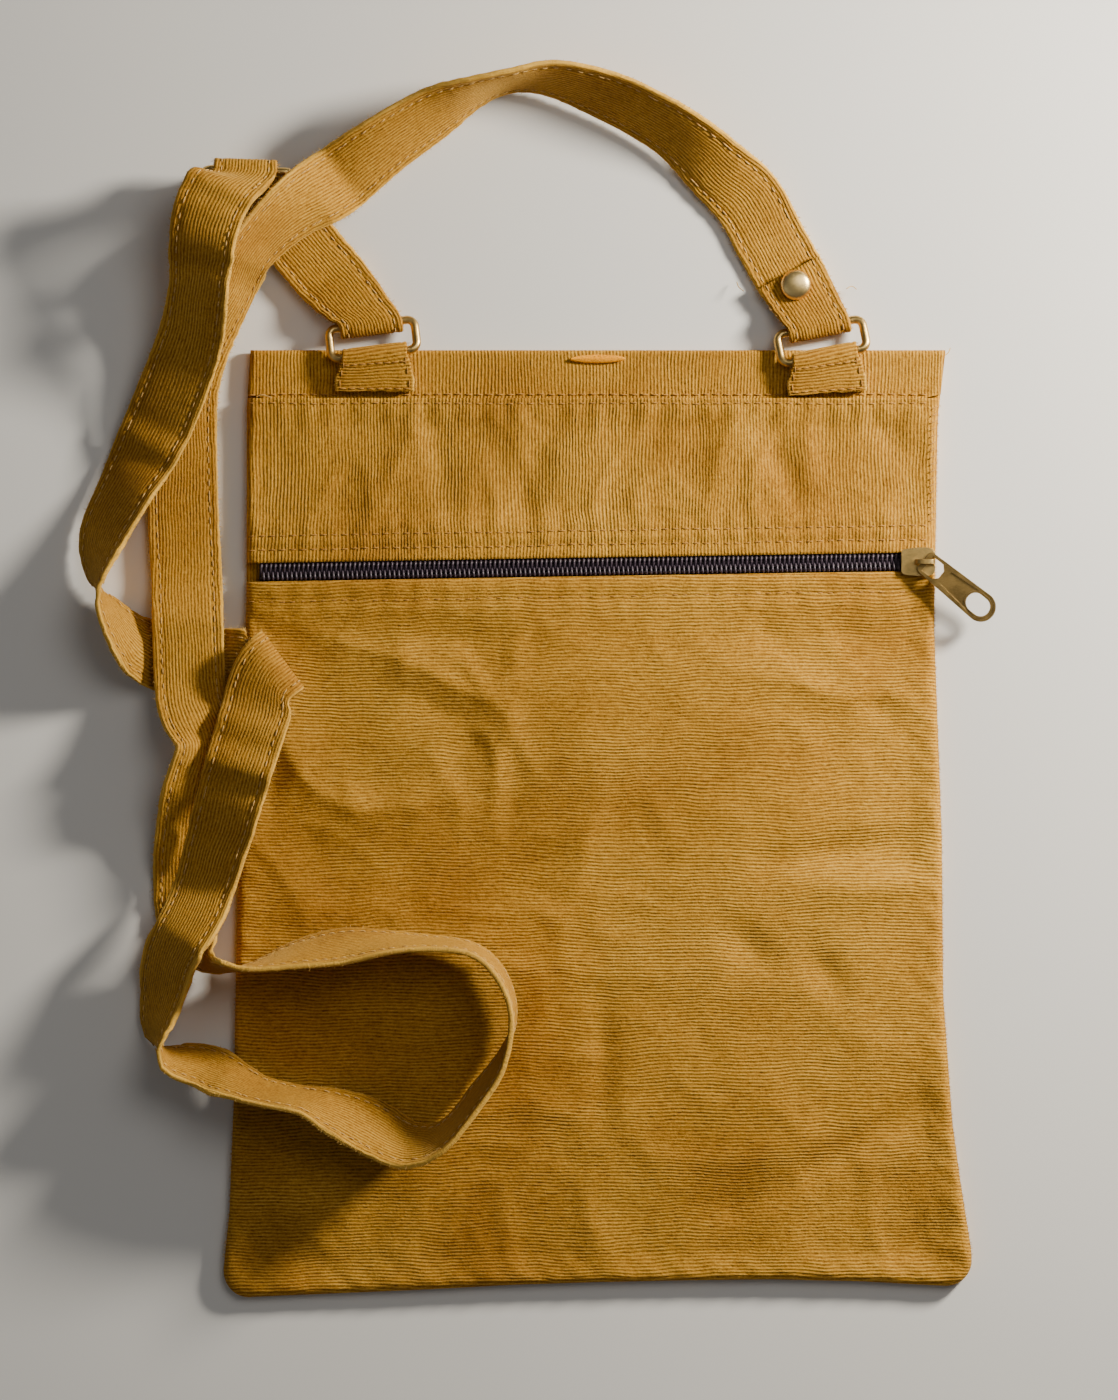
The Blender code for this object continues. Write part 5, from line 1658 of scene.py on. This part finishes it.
def area_light(name, place, target, size, power, colour):
    data = bpy.data.lights.new(name, "AREA")
    data.shape = "DISK"
    data.size = size
    data.energy = power
    data.color = colour
    obj = bpy.data.objects.new(name, data)
    bpy.context.scene.collection.objects.link(obj)
    obj.location = place
    obj.rotation_euler = (Vector(target) - Vector(place)).to_track_quat("-Z", "Y").to_euler()


def make_light():
    world = bpy.data.worlds.new("studio")
    bpy.context.scene.world = world
    world.use_nodes = True
    back = world.node_tree.nodes["Background"]
    back.inputs["Color"].default_value = (1.0, 0.985, 0.96, 1)
    back.inputs["Strength"].default_value = 0.075
    area_light("key", (0.50, 0.33, 0.27), (0.03, 0.03, 0.0), 0.13, 9.5, (1.0, 0.93, 0.80))
    area_light("top", (0.45, 0.55, 1.3), (0.0, 0.0, 0.0), 0.8, 3.6, (1.0, 0.96, 0.90))
    area_light("fill", (-1.2, -0.5, 1.3), (0.0, 0.0, 0.0), 1.2, 1.2, (0.94, 0.97, 1.0))


def make_camera():
    """Straight above the bag, framed as the photograph is."""
    height = 2.4
    centre = from_photo(PHOTO_W / 2, PHOTO_H / 2)
    data = bpy.data.cameras.new("camera")
    data.sensor_fit = "VERTICAL"
    data.angle = 2 * atan2(PHOTO_H / 2 * SCALE, height - SEAM_Z)
    data.clip_start = 0.05
    obj = bpy.data.objects.new("camera", data)
    bpy.context.scene.collection.objects.link(obj)
    obj.location = (centre.x, centre.y, height)
    bpy.context.scene.camera = obj


def finish_node(name, finish):
    """A better material for a node of the model that stays in sight."""
    obj = bpy.data.objects[name]
    for place in obj.material_slots:
        place.material = finish


def main():
    make_camera()
    make_light()
    make_stage()
    half = STRAP_W / 2
    cloth = {
        "across": velvet("velvet_ribs_across", "Y"),
        "upright": velvet("velvet_ribs_upright", "X"),
        "strap": velvet("velvet_strap", "U", 0.95, half),
        "strap_end": velvet("velvet_strap_end", "U", 1.0, half),
        "tab": velvet("velvet_tab", "V", 1.0, TAB_W / 2),
    }
    # The seam thread is darker than the velvet. This is its own tone plus painted shade, so the stitches
    # look sunk into the pile.
    seam_thread = thread_finish("seam_thread", (0.44, 0.22, 0.05))
    fluff = thread_finish("velvet_fibres", (0.66, 0.42, 0.13))
    pale_thread = thread_finish("strap_thread", (0.62, 0.38, 0.12))
    orange = thread_finish("orange_thread", (1.0, 0.40, 0.004), 1800.0)
    aged = brass_finish("aged_brass", (0.33, 0.215, 0.07), 0.30, 0.7)
    brass = brass_finish("brass", (0.74, 0.50, 0.17), 0.26, 0.5)
    bright = brass_finish("bright_brass", (0.96, 0.70, 0.29), 0.26, 0.3)
    make_bag(cloth)
    finish_node("zip_tape", tape_finish("zip_tape_weave"))
    make_coil(coil_finish("zip_nylon"))
    make_cords(tape_finish("zip_cord_weave"))
    make_slider(brass)
    make_puller(aged)
    frames = ring_frames()
    for name, place in frames.items():
        ring_piece(name, place, brass)
    make_straps(frames, cloth, pale_thread, fluff)
    make_tabs(frames, cloth, seam_thread, fluff)
    make_rivet(frames, bright)
    make_bag_stitches(seam_thread)
    make_edge_fibres(fluff)
    make_motif(orange)
    make_threads(fluff)


main()
